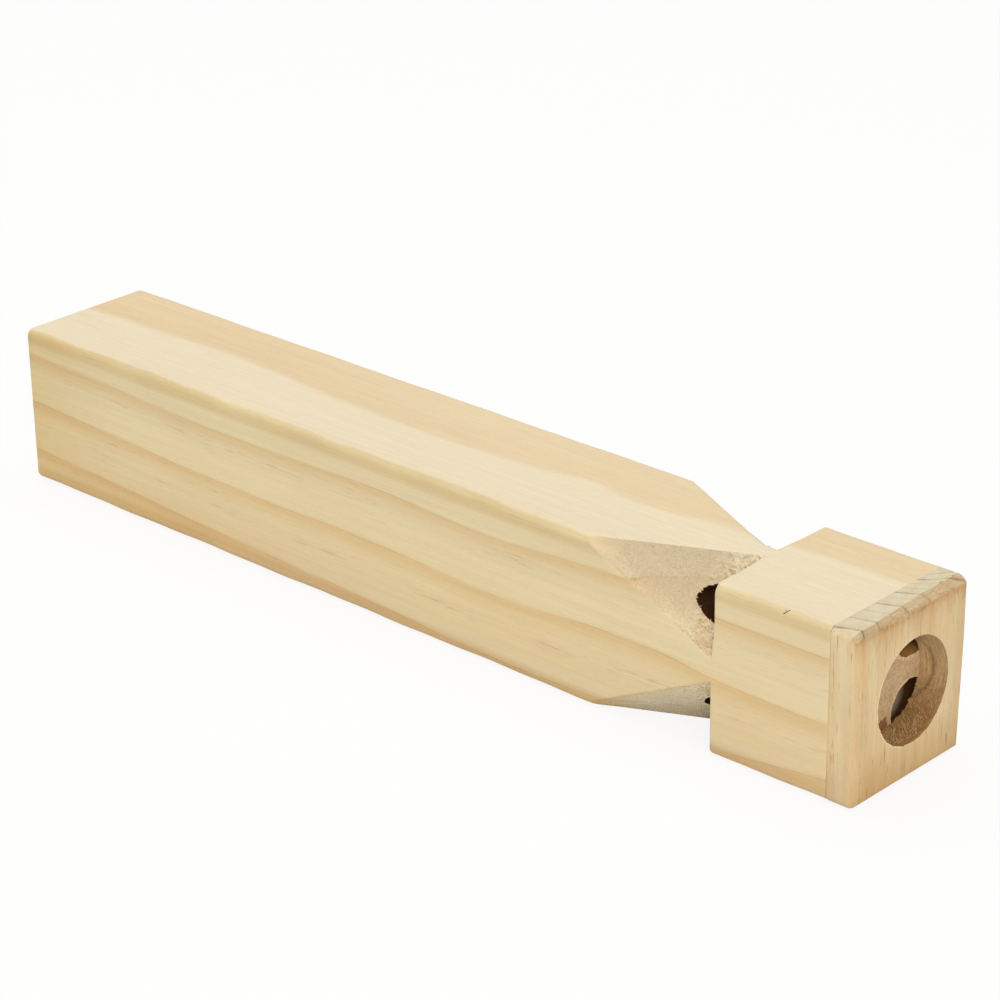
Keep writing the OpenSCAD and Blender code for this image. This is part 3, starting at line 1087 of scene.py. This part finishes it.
def growth_rings(wood):
    """Place within a growth ring, 0 at the tan inner side of a boundary and 1 at the pale outer side of
    the next, the same counted on from the first boundary, and the distance out from that boundary.

    Distance from the pith, less the wander along the bar, divided by the ring spacing, which is a little
    wider inside the second boundary; the fraction that is left.
    """
    along_bar = wood.span(wood.x, TAIL_X, MOUTH_X)
    outward = wood.distance(wood.y - PITH_Y, wood.z - PITH_Z) - FIRST_RING
    near, top, inner = (
        wood.curve(along_bar, points, WANDER_REACH) for points in (NEAR_WANDER, TOP_WANDER, INNER_WANDER))
    wander = wood.span(wood.y, -HALF_W, -7.5) * (top - near) + near
    lean = outward * (-1 / 21) * wood.span(along_bar, 0, 1, 1.4, -1.7)
    ripple = wood.centred(wood.noise((16, 6, 6)), 0.5)
    inward = wander + inner * wood.span(outward, -13, -18) + (lean + ripple) - outward
    past_second = wood.math("MAXIMUM", inward - RING_SPACING, 0)
    rings = past_second * (1 / INNER_SPACING - 1 / RING_SPACING) + inward / RING_SPACING
    return wood.math("FRACT", rings), rings, outward


def ring_colour(wood, bar, ring, outward):
    """Tan just inside a boundary, fading to pale across the ring, softly on the near side and crisply on
    the top. The fade is slower on the far side, the tan is fainter on the top towards the mouth, and all
    is warmer towards the pith. Near the sides a broken brown line marks the boundary."""
    early, late = tuple(bar.early_wood), tuple(bar.late_wood)
    slow = wood.math("MAXIMUM", wood.span(wood.y, -HALF_W, 2.0, 1.0, 0.4), wood.span(ring, 0.5, 0.9))
    soft, crisp = (
        wood.ramp(ring * slow, [(place, blended(late, early, share)) for place, share in fade])
        for fade in (SOFT_FADE, CRISP_FADE))
    above = wood.span(wood.y, -13, -8)
    rings = wood.mix(above, soft, crisp)
    rings = wood.mix(wood.span(wood.x, -60, 10, 0.05, 0.28) * above, rings, early)
    line = wood.span(ring, 0.03, 0.008) * wood.span(ring, 0.0, 0.004)
    line *= wood.span(abs(wood.y), 6, 13, 0.2, 1.0)
    line *= wood.span(wood.noise((14, 3, 3)), 0.38, 0.62, 0.08, 0.5)
    rings = wood.mix(line, rings, BOUNDARY_BROWN)
    return wood.mix(1.0, rings, wood.ramp(wood.span(outward, -24, 0), WARMTH), "MULTIPLY")


def sanded_pine(bar):
    """Sanded faces of the bar: growth rings, faint streaks along the grain, resin dashes inside each
    boundary and two rows of them on the sides. The rounded edges are darker tan and yellower, the sides tan
    at the tail and paler along the bottom towards the mouth, and the top face is tinted cooler as painted
    light."""
    wood = Finish("sanded_pine", 0.62, 0.28)
    ring, count, outward = growth_rings(wood)
    from_side = HALF_W - abs(wood.y)
    from_top = HALF_H - abs(wood.z - AXIS_Z)
    colour = ring_colour(wood, bar, ring, outward)
    colour = wood.mottle(colour, (38, 0.9, 0.9), 0.97, 1.027, 3)
    colour = wood.mottle(colour, (9, 0.24, 0.24), 0.968, 1.028)
    colour = wood.mottle(colour, (22, 12, 12), 0.985, 1.015)
    colour = wood.mottle(colour, (1.4, 0.3, 0.3), 0.97, 1.028, 2, 0.6)
    dash = wood.span(wood.noise((6.5, 0.2, 0.2), 1), 0.655, 0.73)
    dash *= wood.span(wood.noise((24, 2.6, 2.6), 1), 0.5, 0.6)
    dash *= wood.levels(ring, DASH_SHARE)
    dash *= wood.span(from_top, 0.3, 1.0, 0.1, 0.75)
    colour = wood.mix(dash, colour, RESIN_BROWN)
    row = wood.levels(wood.span(count, 0, 2), DASH_ROWS)
    row *= wood.span(wood.noise((4, 0.26, 0.26)), 0.5, 0.66)
    row *= wood.span(wood.noise((13, 3, 3), 1), 0.43, 0.57)
    row *= wood.span(from_side, 1.5, 0.5, 0.0, 0.45) * wood.span(wood.x, WINDOW_X, WINDOW_X + 6, 1.0, 0.6)
    colour = wood.mix(row, colour, ROW_BROWN)
    # Darker tan in a wavy band along the rounded long edges
    wavy_side = from_side + wood.centred(wood.noise((6, 3, 3)), 1.2)
    dark_edge = wood.span(from_top, 3.3, 2.2) * wood.span(wavy_side, 1.1, 0.7)
    dark_edge *= wood.span(wood.noise((26, 3, 3)), 0.25, 0.5, 0.5, 1.0) * wood.span(wood.x, 30, 50, 1.0, 0.85)
    colour = wood.tinted(dark_edge, colour, DARK_EDGE_TONE)
    yellowed = wood.span(wood.z, 24, 26.5) * wood.span(from_side, 1.3, 0.5)
    colour = wood.tinted(yellowed, colour, YELLOWED_EDGE)
    side = wood.span(from_side, 0.9, 0.3)
    tail = wood.span(wood.x, TAIL_X + 26, TAIL_X) * side * wood.span(wood.z, 4, 9, 0.25, 1.0)
    colour = wood.tinted(tail, colour, TAN_TAIL)
    paler = wood.span(wood.x, -50, -25) * side * wood.span(wood.z, 6, 1.5)
    colour = wood.tinted(paler, colour, PALE_LOW_EDGE)
    # Painted light: the top face tinted cooler, as the cool overhead lamp lights it
    colour = wood.tinted(wood.span(wood.z, TOP_Z - 0.4, TOP_Z - 0.1), colour, TOP_PAINTED_COOL_LIGHT)
    height = wood.noise((6, 0.16, 0.16), 3, 0.6) + wood.noise((0.3, 0.3, 0.3)) * 0.7
    return wood.finish(colour, height, 0.014, 0.7)


def notch_place(wood):
    """Position as (along the bar, out along a corner's diagonal, across it), alike at all four corners."""
    side = abs(wood.y)
    up = abs(wood.z - AXIS_Z)
    joined = wood.add("ShaderNodeCombineXYZ", wood.x, (side + up) * (1 / ROOT2), (side - up) * (1 / ROOT2))
    return wood.give(joined)


def sawn_pine(bar):
    """Sloping and square cuts: pinkish fuzz over the same rings, with fine scratches across the slope,
    flecks with painted highlights and dark specks of painted shade, fading out where the slope starts and
    towards the side faces. It is golden and tufted where it is torn close to the square cut, with painted
    highlights and shade on the tufts and painted shade in their gaps, and rubbed tan along the side faces,
    and a broken brown line shows where a ring's boundary crosses. The lower slopes get a brighter, cooler
    copy of the sawn colour as painted light."""
    wood = Finish("sawn_pine", 0.8, 0.15)
    place = notch_place(wood)
    ring, _, outward = growth_rings(wood)
    rings = ring_colour(wood, bar, ring, outward)
    upper = tuple(bar.sawn_wood)
    # Painted light: the lower, downward-facing slopes get a brighter and cooler copy of the sawn colour
    lower = tuple(part * share for part, share in zip(upper, LOWER_SLOPE_PAINTED_LIGHT))
    sawn = wood.mix(wood.span(wood.z, AXIS_Z - 3, AXIS_Z + 3), lower, upper)
    fresh = wood.span(wood.x, WINDOW_X - 28, WINDOW_X - 20)
    near_cut = wood.span(wood.x, WINDOW_X - 7.5, WINDOW_X - 2.5)
    from_side = HALF_W - abs(wood.y)
    soft = from_side + wood.centred(wood.noise((3, 1.5, 1.5)), 2.0)
    colour = wood.mix(fresh * wood.span(soft, 0.1, 1.9, 0.25, 0.74), rings, sawn)
    line = wood.span(ring, 0.045, 0.02) * wood.span(ring, 0.0, 0.008)
    line *= wood.span(wood.x, WINDOW_X - 7, WINDOW_X - 13, 0.2, 1.0)
    line *= wood.span(wood.noise((2.2, 1, 1)), 0.46, 0.64, 0.08, 0.6)
    colour = wood.mix(line, colour, SAWN_LINE_BROWN)
    # Darker tan where the slope starts, matching the tone of the rounded edges
    colour = wood.tinted(wood.span(wood.x, WINDOW_X - 19, WINDOW_X - 25), colour, SLOPE_START_TONE)
    colour = wood.scaled(colour, wood.span(wood.split(place)[2], -6, 6, 1.02, 1.155))
    torn = near_cut * wood.span(wood.noise((2.5, 1.2, 1.2)), 0.3, 0.5)
    colour = wood.mix(torn * 0.85, colour, TORN_GOLD)
    scratches = wood.noise((0.3, 0.3, 1.6), 2, 0.6, place)
    # The flecks also lighten the colour: painted highlights on the fuzz's small bumps
    flecks = wood.span(wood.noise((0.42, 0.34, 0.42), 3, 0.6, place), 0.3, 0.75)
    flecked = wood.shade(wood.shade(colour, scratches, 0.97, 1.03), flecks, 0.965, 1.05)
    colour = wood.mix(fresh, colour, flecked)
    # Dark specks: painted shade of the fuzz's small roughness
    speck_shade = wood.span(wood.noise((0.7, 0.3, 0.5), 2, 0.5, place), 0.36, 0.28)
    colour = wood.mix(speck_shade * fresh * 0.4, colour, SPECK_SHADE)
    # Near the square cut: painted highlight and shade on the torn tufts, and painted shade in the gaps
    # between them
    tufts = wood.noise((1.1, 0.45, 0.6), 2, 0.55, place)
    colour = wood.mix(near_cut, colour, wood.shade(colour, tufts, 0.72, 1.24))
    colour = wood.mottle(colour, (5, 2, 2), 0.975, 1.025)
    colour = wood.mix(wood.span(tufts, 0.42, 0.32) * near_cut * 0.75, colour, TUFT_GAP_SHADE)
    patchy = fresh * wood.span(wood.noise((5, 1, 1)), 0.35, 0.6, 0.0, 0.65)
    colour = wood.mix(wood.span(from_side, 0.9, 0.1) * patchy, colour, RUBBED_TAN)
    relief = tufts * near_cut * 1.6 + scratches * 0.3 + flecks
    return wood.finish(colour, relief * fresh, 0.26, 0.9)


def drilled_pine(bar):
    """Pipe walls and the end of the bar behind the plate: scorched brown in the pipes, reddish low down and
    painted shade higher up in the upper mouths, a pale wall as painted light in the lower mouths with a
    band of painted shadow of the plate before the seam, and pinkish on the bar's end, with a bright burr
    about each mouth and one reddish triangular mark."""
    wood = Finish("drilled_pine", 0.75, 0.2)
    up = wood.z - AXIS_Z
    streak = wood.noise((0.5, 0.5, 0.5), 3, 0.6)
    deep = wood.shade(tuple(bar.drilled_wood), streak, 0.8, 1.2)
    below = wood.span(wood.z, AXIS_Z, AXIS_Z - 3)
    # Upper mouths: reddish wall low down, painted shade on their upper part
    above = wood.mix(wood.span(wood.z, AXIS_Z + 1.7, AXIS_Z + 3.2), UPPER_MOUTH_RED, UPPER_MOUTH_SHADE)
    # Lower mouths: a pale wall colour as painted light, where light through the blow hole falls deep in the
    # mouth
    mouth = wood.shade(wood.mix(below, above, LOWER_MOUTH_PAINTED_LIGHT), streak, 0.9, 1.1)
    # A dark band before the seam: painted shadow of the plate on the lower mouths' wall
    mouth = wood.mix(wood.span(wood.x, SEAM_X - 6.2, SEAM_X - 4.3) * below, mouth, LOWER_MOUTH_PLATE_SHADOW)
    colour = wood.mix(wood.span(wood.x, WINDOW_X + 4, WINDOW_X + 12), deep, mouth)
    end = wood.mottle(wood.shade(END_PINK, streak, 0.76, 1.24), (4, 1.3, 1.3), 0.86, 1.14)
    pitch = bar.pipe_pitch / MM / 2
    from_mouth = wood.distance(abs(wood.y) - pitch, abs(up) - pitch) - bar.pipe_diameter / MM / 2
    burr = wood.span(from_mouth, 0.1, -0.4) * wood.span(streak, 0.42, 0.6, 0.1, 0.8)
    end = wood.mix(burr, end, BURR_PALE)
    # A reddish triangular mark on the bar's end by the near lower mouth
    past_top = up - RED_MARK_TOP
    past_side = wood.y - RED_MARK_Y
    red_mark = wood.math("MAXIMUM", past_top * 0.2 + past_side, past_top - past_side * 0.23)
    red_mark = wood.span(red_mark + wood.centred(streak, 0.8), 0.1, -0.15, 0.0, 0.88)
    end = wood.mix(red_mark, end, wood.shade(RED_MARK, streak, 0.55, 1.45))
    colour = wood.mix(wood.span(wood.x, SEAM_X - 0.3, SEAM_X - 0.1), colour, end)
    return wood.finish(colour, wood.noise((1.5, 0.3, 0.3), 3, 0.6), 0.1, 0.9)


# The plate's growth rings: the pith's place in plan, and the radius of each dark line and how dark it is
PLATE_PITH_X = 88.6
PLATE_PITH_Y = 16.9
PLATE_LINES = (
    (9.6, 1.0), (11.6, 1.0), (13.1, 0.3), (15.0, 0.5), (16.9, 1.0), (19.0, 0.35), (21.7, 1.0), (24.8, 0.35),
    (28.3, 1.0), (32.0, 1.0))
PLATE_REACH = 40.0
# Colours of marks in the plate's wood
STREAK_BROWN = (0.74, 0.45, 0.19)
HAIRLINE_BROWN = (0.45, 0.25, 0.11)
SEAM_BROWN = (0.36, 0.24, 0.13)
END_LINE_BROWN = (0.27, 0.19, 0.11)
CREASE_BROWN = (0.36, 0.25, 0.15)
FLECK_BROWN = (0.50, 0.28, 0.12)
HOLE_LINE_BROWN = (0.22, 0.11, 0.045)
BURNT_BROWN = (0.40, 0.19, 0.08)
# Tones that the plate's wood is multiplied by
PLAIN = (1.0, 1.0, 1.0)
UPPER_SIDE = (0.995, 1.04, 1.10)
LOWER_SIDE_SHADE = (0.89, 0.90, 0.945)
LOWER_FRONT_SHADE = (0.835, 0.745, 0.645)
FAR_FRONT = (0.95, 1.0, 1.04)
NEAR_FRONT = (1.03, 1.04, 1.06)
BRUISED_FRONT = (0.78, 0.65, 0.52)
STAINED_END = (0.93, 0.83, 0.70)
SCUFFED_BEVEL = (0.94, 0.81, 0.71)
RIM_PAINTED_HIGHLIGHT = (1.22, 1.3, 1.42)
LOW_HOLE = (0.59, 0.475, 0.37)


def plate_rings(wood):
    """Distance from the plate's pith, with a slow wander up the grain, as a share of the plate's reach."""
    radius = wood.distance(wood.x - PLATE_PITH_X, wood.y - PLATE_PITH_Y)
    return (radius + wood.centred(wood.noise((5, 5, 22)), 0.5)) / PLATE_REACH


def plate_ring_colour(wood, ring, pale, dark, depth):
    """Pale wood that darkens towards each line, by the line's share of the depth, and is pale again just
    past it."""
    stops = [(0.0, pale)]
    for radius, strength in PLATE_LINES:
        share = depth * strength
        stops += [
            ((radius - 0.5) / PLATE_REACH, blended(pale, dark, 0.1 * share)),
            ((radius - 0.12) / PLATE_REACH, blended(pale, dark, share)),
            ((radius + 0.04) / PLATE_REACH, pale)]
    lined = wood.ramp(ring, stops)
    return wood.mix(wood.span(wood.noise((3, 3, 9)), 0.35, 0.65, 0.45, 1.0), pale, lined)


def plate_pine(plate):
    """Outside of the plate: upright grain with faint rings, warm streaks and brown hairlines, browner at
    the top of the front, painted shade towards the bottom of the front and of the sides, a dark seam low
    on the sides, greyed end grain on top and bottom, a scuffed bevel with torn flecks above the front, and
    a painted highlight on the rim on the near side of the hole."""
    wood = Finish("plate_pine", 0.64, 0.26)
    ring = plate_rings(wood)
    face = tuple(plate.face_wood)
    forward, _, upward = wood.split(wood.give(wood.add("ShaderNodeNewGeometry"), "Normal"))
    upward = abs(upward)
    front = wood.span(forward, 0.5, 0.8)
    colour = plate_ring_colour(wood, ring, face, tuple(plate.line_wood), 0.32)
    warm = wood.span(wood.noise((3.0, 3.0, 26), 4, 0.55), 0.38, 0.62)
    colour = wood.mix(warm * 0.56, colour, blended(face, STREAK_BROWN, 0.85))
    colour = wood.mottle(colour, (3.5, 3.5, 16), 0.945, 1.075)
    colour = wood.mottle(colour, (0.3, 0.3, 5), 0.955, 1.04, 2, 0.6)
    colour = wood.mottle(colour, (0.3, 0.3, 0.6), 0.96, 1.04, 2, 0.6)
    hairs = wood.span(wood.noise((0.24, 0.24, 4.5), 1), 0.65, 0.71)
    hairs *= wood.span(wood.noise((2.2, 2.2, 8), 1), 0.45, 0.58, 0.08, 0.85)
    colour = wood.mix(hairs, colour, HAIRLINE_BROWN)
    # The sides: cooler above, with painted shade towards the bottom
    sided = wood.mix(1.0, colour, wood.mix(wood.span(wood.z, 10, 4), UPPER_SIDE, LOWER_SIDE_SHADE), "MULTIPLY")
    fronted = colour
    # The front: painted shade towards the bottom, cooler on the far side and lighter on the near side
    for place, low, high, tone in (
            (wood.z, 9, 1, LOWER_FRONT_SHADE), (wood.y, 8, 13, FAR_FRONT), (wood.y, -6, -10, NEAR_FRONT)):
        fronted = wood.mix(1.0, fronted, wood.mix(wood.span(place, low, high), PLAIN, tone), "MULTIPLY")
    colour = wood.mix(front, sided, fronted)
    bruised = wood.math("POWER", wood.span(wood.z, 24.5, 29.8), 2.0)
    bruised *= wood.span(wood.noise((0.8, 0.8, 5)), 0.3, 0.6, 0.6, 1.0)
    colour = wood.tinted(bruised * front, colour, BRUISED_FRONT)
    seam = wood.span(wood.x, SEAM_X + 0.3, SEAM_X + 0.12) * wood.span(wood.z, 8, 4, 0.15, 0.6)
    colour = wood.mix(seam, colour, SEAM_BROWN)
    end = plate_ring_colour(wood, ring, tuple(plate.end_wood), END_LINE_BROWN, 0.95)
    end = wood.mottle(end, (0.3, 0.3, 0.3), 0.91, 1.09, 3, 0.6)
    end = wood.tinted(wood.span(wood.noise((1.6, 3.5, 2), 3, 0.6), 0.42, 0.65, 0.0, 0.55), end, STAINED_END)
    scuffs = wood.noise((0.25, 2.2, 0.25), 3, 0.6)
    scuffed = wood.shade(wood.mix(1.0, end, SCUFFED_BEVEL, "MULTIPLY"), scuffs, 0.72, 1.14)
    bevel = wood.span(forward, 0.12, 0.3) * wood.span(wood.z, 29.5, 29.9)
    colour = wood.mix(wood.span(upward, 0.5, 0.8), colour, end)
    colour = wood.mix(bevel * wood.span(upward, 0.05, 0.2), colour, scuffed)
    crease = wood.span(forward, 0.05, 0.15) * wood.span(forward, 0.45, 0.3)
    crease *= wood.span(upward, 0.8, 0.9, 0.0, 0.6)
    colour = wood.mix(crease, colour, CREASE_BROWN)
    flecks = wood.span(wood.z, 28.7, 29.6) * wood.span(wood.z, 30.6, 30.1)
    flecks *= wood.span(wood.noise((0.6, 0.6, 0.9), 3, 0.6), 0.46, 0.58, 0.0, 0.85)
    flecks *= wood.span(wood.noise((2, 2.2, 2), 1), 0.4, 0.58, 0.25, 1.0)
    flecks *= wood.span(forward, 0.2, 0.5)
    colour = wood.mix(flecks, colour, FLECK_BROWN)
    # Painted highlight: a paler line on the front face round the hole's rim, on its near side
    from_rim = wood.distance(wood.y - HOLE_Y, wood.z - AXIS_Z) - HOLE_R
    rim = wood.span(from_rim, 0.42, 0.2) * wood.span(wood.y, 4, -2, 0.1, 1.0)
    colour = wood.tinted(rim, colour, RIM_PAINTED_HIGHLIGHT)
    height = wood.noise((0.2, 0.2, 5), 3, 0.6) + scuffs * bevel
    return wood.finish(colour, height, 0.03, 0.7)


def plate_hole(plate):
    """Wall of the blow hole: torn fibres, browner below, with the rings' dark lines and the drill's
    scores on the upright sides and a few burnt patches below the rim."""
    wood = Finish("plate_hole", 0.8, 0.15)
    colour = plate_ring_colour(wood, plate_rings(wood), tuple(plate.hole_wood), HOLE_LINE_BROWN, 0.8)
    low = wood.span(wood.z, AXIS_Z - 0.5, AXIS_Z - 7)
    colour = wood.tinted(low, colour, LOW_HOLE)
    colour = wood.mottle(colour, (0.35, 0.5, 3.0), 0.76, 1.22, 3, 0.65)
    colour = wood.mottle(colour, (0.25, 0.25, 0.5), 0.85, 1.15, 2, 0.6)
    colour = wood.mix(low, wood.mottle(colour, (0.24, 7, 7), 0.7, 1.2, 2, 0.6), colour)
    burnt = wood.span(wood.x, MOUTH_X - 1.7, MOUTH_X - 0.7) * wood.span(wood.z, AXIS_Z + 1, AXIS_Z - 2)
    burnt *= wood.span(wood.noise((1.2, 1.2, 1.2)), 0.48, 0.6, 0.0, 0.55)
    colour = wood.mix(burnt, colour, BURNT_BROWN)
    return wood.finish(colour, wood.noise((0.35, 0.35, 0.8), 3, 0.7), 0.2, 1.0)


# Colours of the dowels' grain and of torn strands
DOWEL_GRAIN = ((0.3, (0.50, 0.33, 0.18)), (0.7, (0.64, 0.46, 0.28)))
NOTCH_FIBRE = (0.86, 0.68, 0.44)
HOLE_FIBRE = (0.70, 0.51, 0.29)
NICK_BROWN = (0.22, 0.12, 0.05)


def dowel_wood():
    """Dowel plugs: plain straight grain with fine end-grain pores."""
    wood = Finish("dowel_wood", 0.7, 0.22)
    colour = wood.ramp(wood.noise((20, 1.1, 1.1)), DOWEL_GRAIN)
    colour = wood.mottle(colour, (2.5, 0.22, 0.22), 0.92, 1.08)
    return wood.finish(colour, wood.noise((3, 0.2, 0.2)), 0.03, 0.6)


def loose_fibre(name, colour, spread):
    """Torn strands, lighter or darker than each other by a share given as spread."""
    wood = Finish(name, 0.8, 0.1)
    return wood.finish(wood.mottle(colour, (0.9, 0.3, 0.3), 1 - spread, 1 + spread))


# The floor's half width, the distances in metres over which it turns wholly white, how white it is seen
# before that, and its own tone for unseen and for seen rays
FLOOR_REACH = 4.0
FLOOR_FADE = (0.35, 1.2)
FLOOR_WHITE = 0.87
FLOOR_UNSEEN = (0.80, 0.815, 0.83)
FLOOR_SEEN = (0.97, 0.97, 0.97)
# Place, aim and width of the two lamps, in metres
OVERHEAD_LAMP = ((-0.15, 0.08, 0.9), (0, 0, 0), 0.9)
FRONT_LAMP = ((0.96, -0.87, 0.75), (0, 0, 0.015), 0.5)
# The camera as it was fitted to the photograph: its place in metres and its axes
SENSOR_WIDTH = 36
CLIP_START = 0.01
CLIP_END = 20
CAMERA_PLACE = (0.36405, -0.37510, 0.25444)
CAMERA_RIGHT = Vector((0.732239, 0.680911, -0.013669))
CAMERA_DOWN = Vector((0.270096, -0.308764, -0.911983))
CAMERA_AHEAD = Vector((-0.625200, 0.664097, -0.410001))


def floor_finish():
    """Matt white floor. Camera, glossy and transmitted rays see it mostly as plain white, and wholly so
    far off, so that only a pale shadow is left of the object's shade; all other rays see a matt floor
    that is a little darker."""
    material = bpy.data.materials.new("white_floor")
    material.use_nodes = True
    paint = Nodes(material.node_tree)
    seen = paint.seen_rays()
    matt = paint.add("ShaderNodeBsdfDiffuse", paint.mix(seen, FLOOR_UNSEEN, FLOOR_SEEN))
    white = paint.add("ShaderNodeEmission")
    place = paint.give(paint.add("ShaderNodeTexCoord"), "Object")
    far = paint.give(paint.add("ShaderNodeVectorMath", place, operation="LENGTH"), "Value")
    share = seen * paint.span(far, *FLOOR_FADE, FLOOR_WHITE, 1.0)
    paint.blend_out("ShaderNodeOutputMaterial", share, matt, white)
    return material


def room_light(stage):
    """World: even tinted light on the object, plain white for what camera, glossy and transmitted rays
    see."""
    world = bpy.data.worlds.new("white_room")
    world.use_nodes = True
    room = Nodes(world.node_tree)
    even = room.add("ShaderNodeBackground", tuple(stage.room_tint), stage.room_light)
    white = room.add("ShaderNodeBackground", (1.0, 1.0, 1.0))
    room.blend_out("ShaderNodeOutputWorld", room.seen_rays(), even, white)
    bpy.context.scene.world = world


def soft_lamp(name, place, aim, width, watts, colour):
    """A square area lamp at a place, turned to its aim, in metres."""
    light = bpy.data.lights.new(name, "AREA")
    light.shape = "SQUARE"
    light.size = width
    light.energy = watts
    light.color = colour
    lamp = bpy.data.objects.new(name, light)
    lamp.location = place
    lamp.rotation_euler = (Vector(aim) - Vector(place)).to_track_quat("-Z", "Y").to_euler()
    bpy.context.scene.collection.objects.link(lamp)


class WHISTLE_OT_bar(bpy.types.Operator):
    """Build the sanded pine bar with its notches, windows and pipes in place of its solid"""
    bl_idname = "whistle.bar"
    bl_label = "Bar"

    def execute(self, context):
        bar = settings()[0]
        piece = make_piece("pine_bar", bar_patches(), [sanded_pine(bar), sawn_pine(bar), drilled_pine(bar)])
        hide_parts("whistle_body")
        return {"FINISHED"}


class WHISTLE_OT_plate(bpy.types.Operator):
    """Build the end plate with its torn blow hole in place of its solid"""
    bl_idname = "whistle.plate"
    bl_label = "End plate"

    def execute(self, context):
        plate = settings()[1]
        piece = make_piece("end_plate", plate_patches(), [plate_pine(plate), plate_hole(plate)])
        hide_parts("mouthpiece_cap")
        return {"FINISHED"}


class WHISTLE_OT_plugs(bpy.types.Operator):
    """Give the four dowel plugs their wood"""
    bl_idname = "whistle.plugs"
    bl_label = "Dowel plugs"

    def execute(self, context):
        wood = dowel_wood()
        for corner in CORNERS:
            solid = frame["nodes"]["fipple_plug_" + corner]
            solid.data.materials.clear()
            solid.data.materials.append(wood)
        return {"FINISHED"}


class WHISTLE_OT_fibres(bpy.types.Operator):
    """Build the torn fibres at the windows and in the blow hole, and the nick in the near top edge"""
    bl_idname = "whistle.fibres"
    bl_label = "Torn fibres"

    def execute(self, context):
        size = bar_sizes()
        notches = np.concatenate([
            notch_strands(corner_sizes(size, corner), corner, seed)
            for seed, corner in enumerate(CORNERS.values())])
        pale = loose_fibre("notch_fibre", NOTCH_FIBRE, 0.15)
        fibres = make_piece("notch_fibres", [(strand, 0) for strand in notches], [pale])
        dark = loose_fibre("nick_brown", NICK_BROWN, 0.15)
        nick = make_piece("edge_nick", [(strand, 0) for strand in edge_nick(size)], [dark])
        brown = loose_fibre("hole_fibre", HOLE_FIBRE, 0.45)
        fuzz = make_piece("blow_hole_fuzz", [(strand, 0) for strand in hole_strands()], [brown])
        return {"FINISHED"}


class WHISTLE_OT_stage(bpy.types.Operator):
    """Build the floor, the light and the camera"""
    bl_idname = "whistle.stage"
    bl_label = "Stage"

    def execute(self, context):
        stage = settings()[2]
        scene = context.scene
        floor = bpy.data.meshes.new("floor")
        corners = [(x * FLOOR_REACH, y * FLOOR_REACH, 0) for x, y in ((-1, -1), (1, -1), (1, 1), (-1, 1))]
        floor.from_pydata(corners, [], [(0, 1, 2, 3)])
        floor.materials.append(floor_finish())
        ground = bpy.data.objects.new("floor", floor)
        scene.collection.objects.link(ground)
        room_light(stage)
        soft_lamp("overhead", *OVERHEAD_LAMP, stage.overhead_power, stage.overhead_tint)
        soft_lamp("front", *FRONT_LAMP, stage.front_power, stage.front_tint)

        lens = bpy.data.cameras.new("camera")
        lens.sensor_width = SENSOR_WIDTH
        lens.lens = stage.lens
        lens.clip_start = CLIP_START
        lens.clip_end = CLIP_END
        camera = bpy.data.objects.new("camera", lens)
        turn = Matrix((CAMERA_RIGHT, -CAMERA_DOWN, -CAMERA_AHEAD)).transposed()
        camera.matrix_world = Matrix.Translation(CAMERA_PLACE) @ turn.to_4x4()
        scene.collection.objects.link(camera)
        scene.camera = camera
        scene.view_settings.view_transform = "Standard"
        return {"FINISHED"}


class WHISTLE_PT_builder(bpy.types.Panel):
    """Buttons and settings for each piece of the whistle"""
    bl_idname = "WHISTLE_PT_builder"
    bl_label = "Train whistle"
    bl_space_type = "VIEW_3D"
    bl_region_type = "UI"
    bl_category = "Whistle"

    def draw(self, context):
        for operator in OPERATORS:
            self.layout.operator(operator.bl_idname)
        for group in settings():
            box = self.layout.box()
            for name in group.__annotations__:
                box.prop(group, name)


GROUPS = {
    "whistle_bar": WhistleBarSettings,
    "whistle_plate": WhistlePlateSettings,
    "whistle_stage": WhistleStageSettings,
}
OPERATORS = (WHISTLE_OT_stage, WHISTLE_OT_bar, WHISTLE_OT_plate, WHISTLE_OT_plugs, WHISTLE_OT_fibres)


def register():
    for name, group in GROUPS.items():
        bpy.utils.register_class(group)
        setattr(bpy.types.Scene, name, bpy.props.PointerProperty(type=group))
    for operator in OPERATORS:
        bpy.utils.register_class(operator)
    bpy.utils.register_class(WHISTLE_PT_builder)


def unregister():
    bpy.utils.unregister_class(WHISTLE_PT_builder)
    for operator in reversed(OPERATORS):
        bpy.utils.unregister_class(operator)
    for name, group in GROUPS.items():
        delattr(bpy.types.Scene, name)
        bpy.utils.unregister_class(group)


def main():
    register()
    bpy.ops.whistle.stage()
    bpy.ops.whistle.bar()
    bpy.ops.whistle.plate()
    bpy.ops.whistle.plugs()
    bpy.ops.whistle.fibres()


if __name__ == "__main__":
    main()
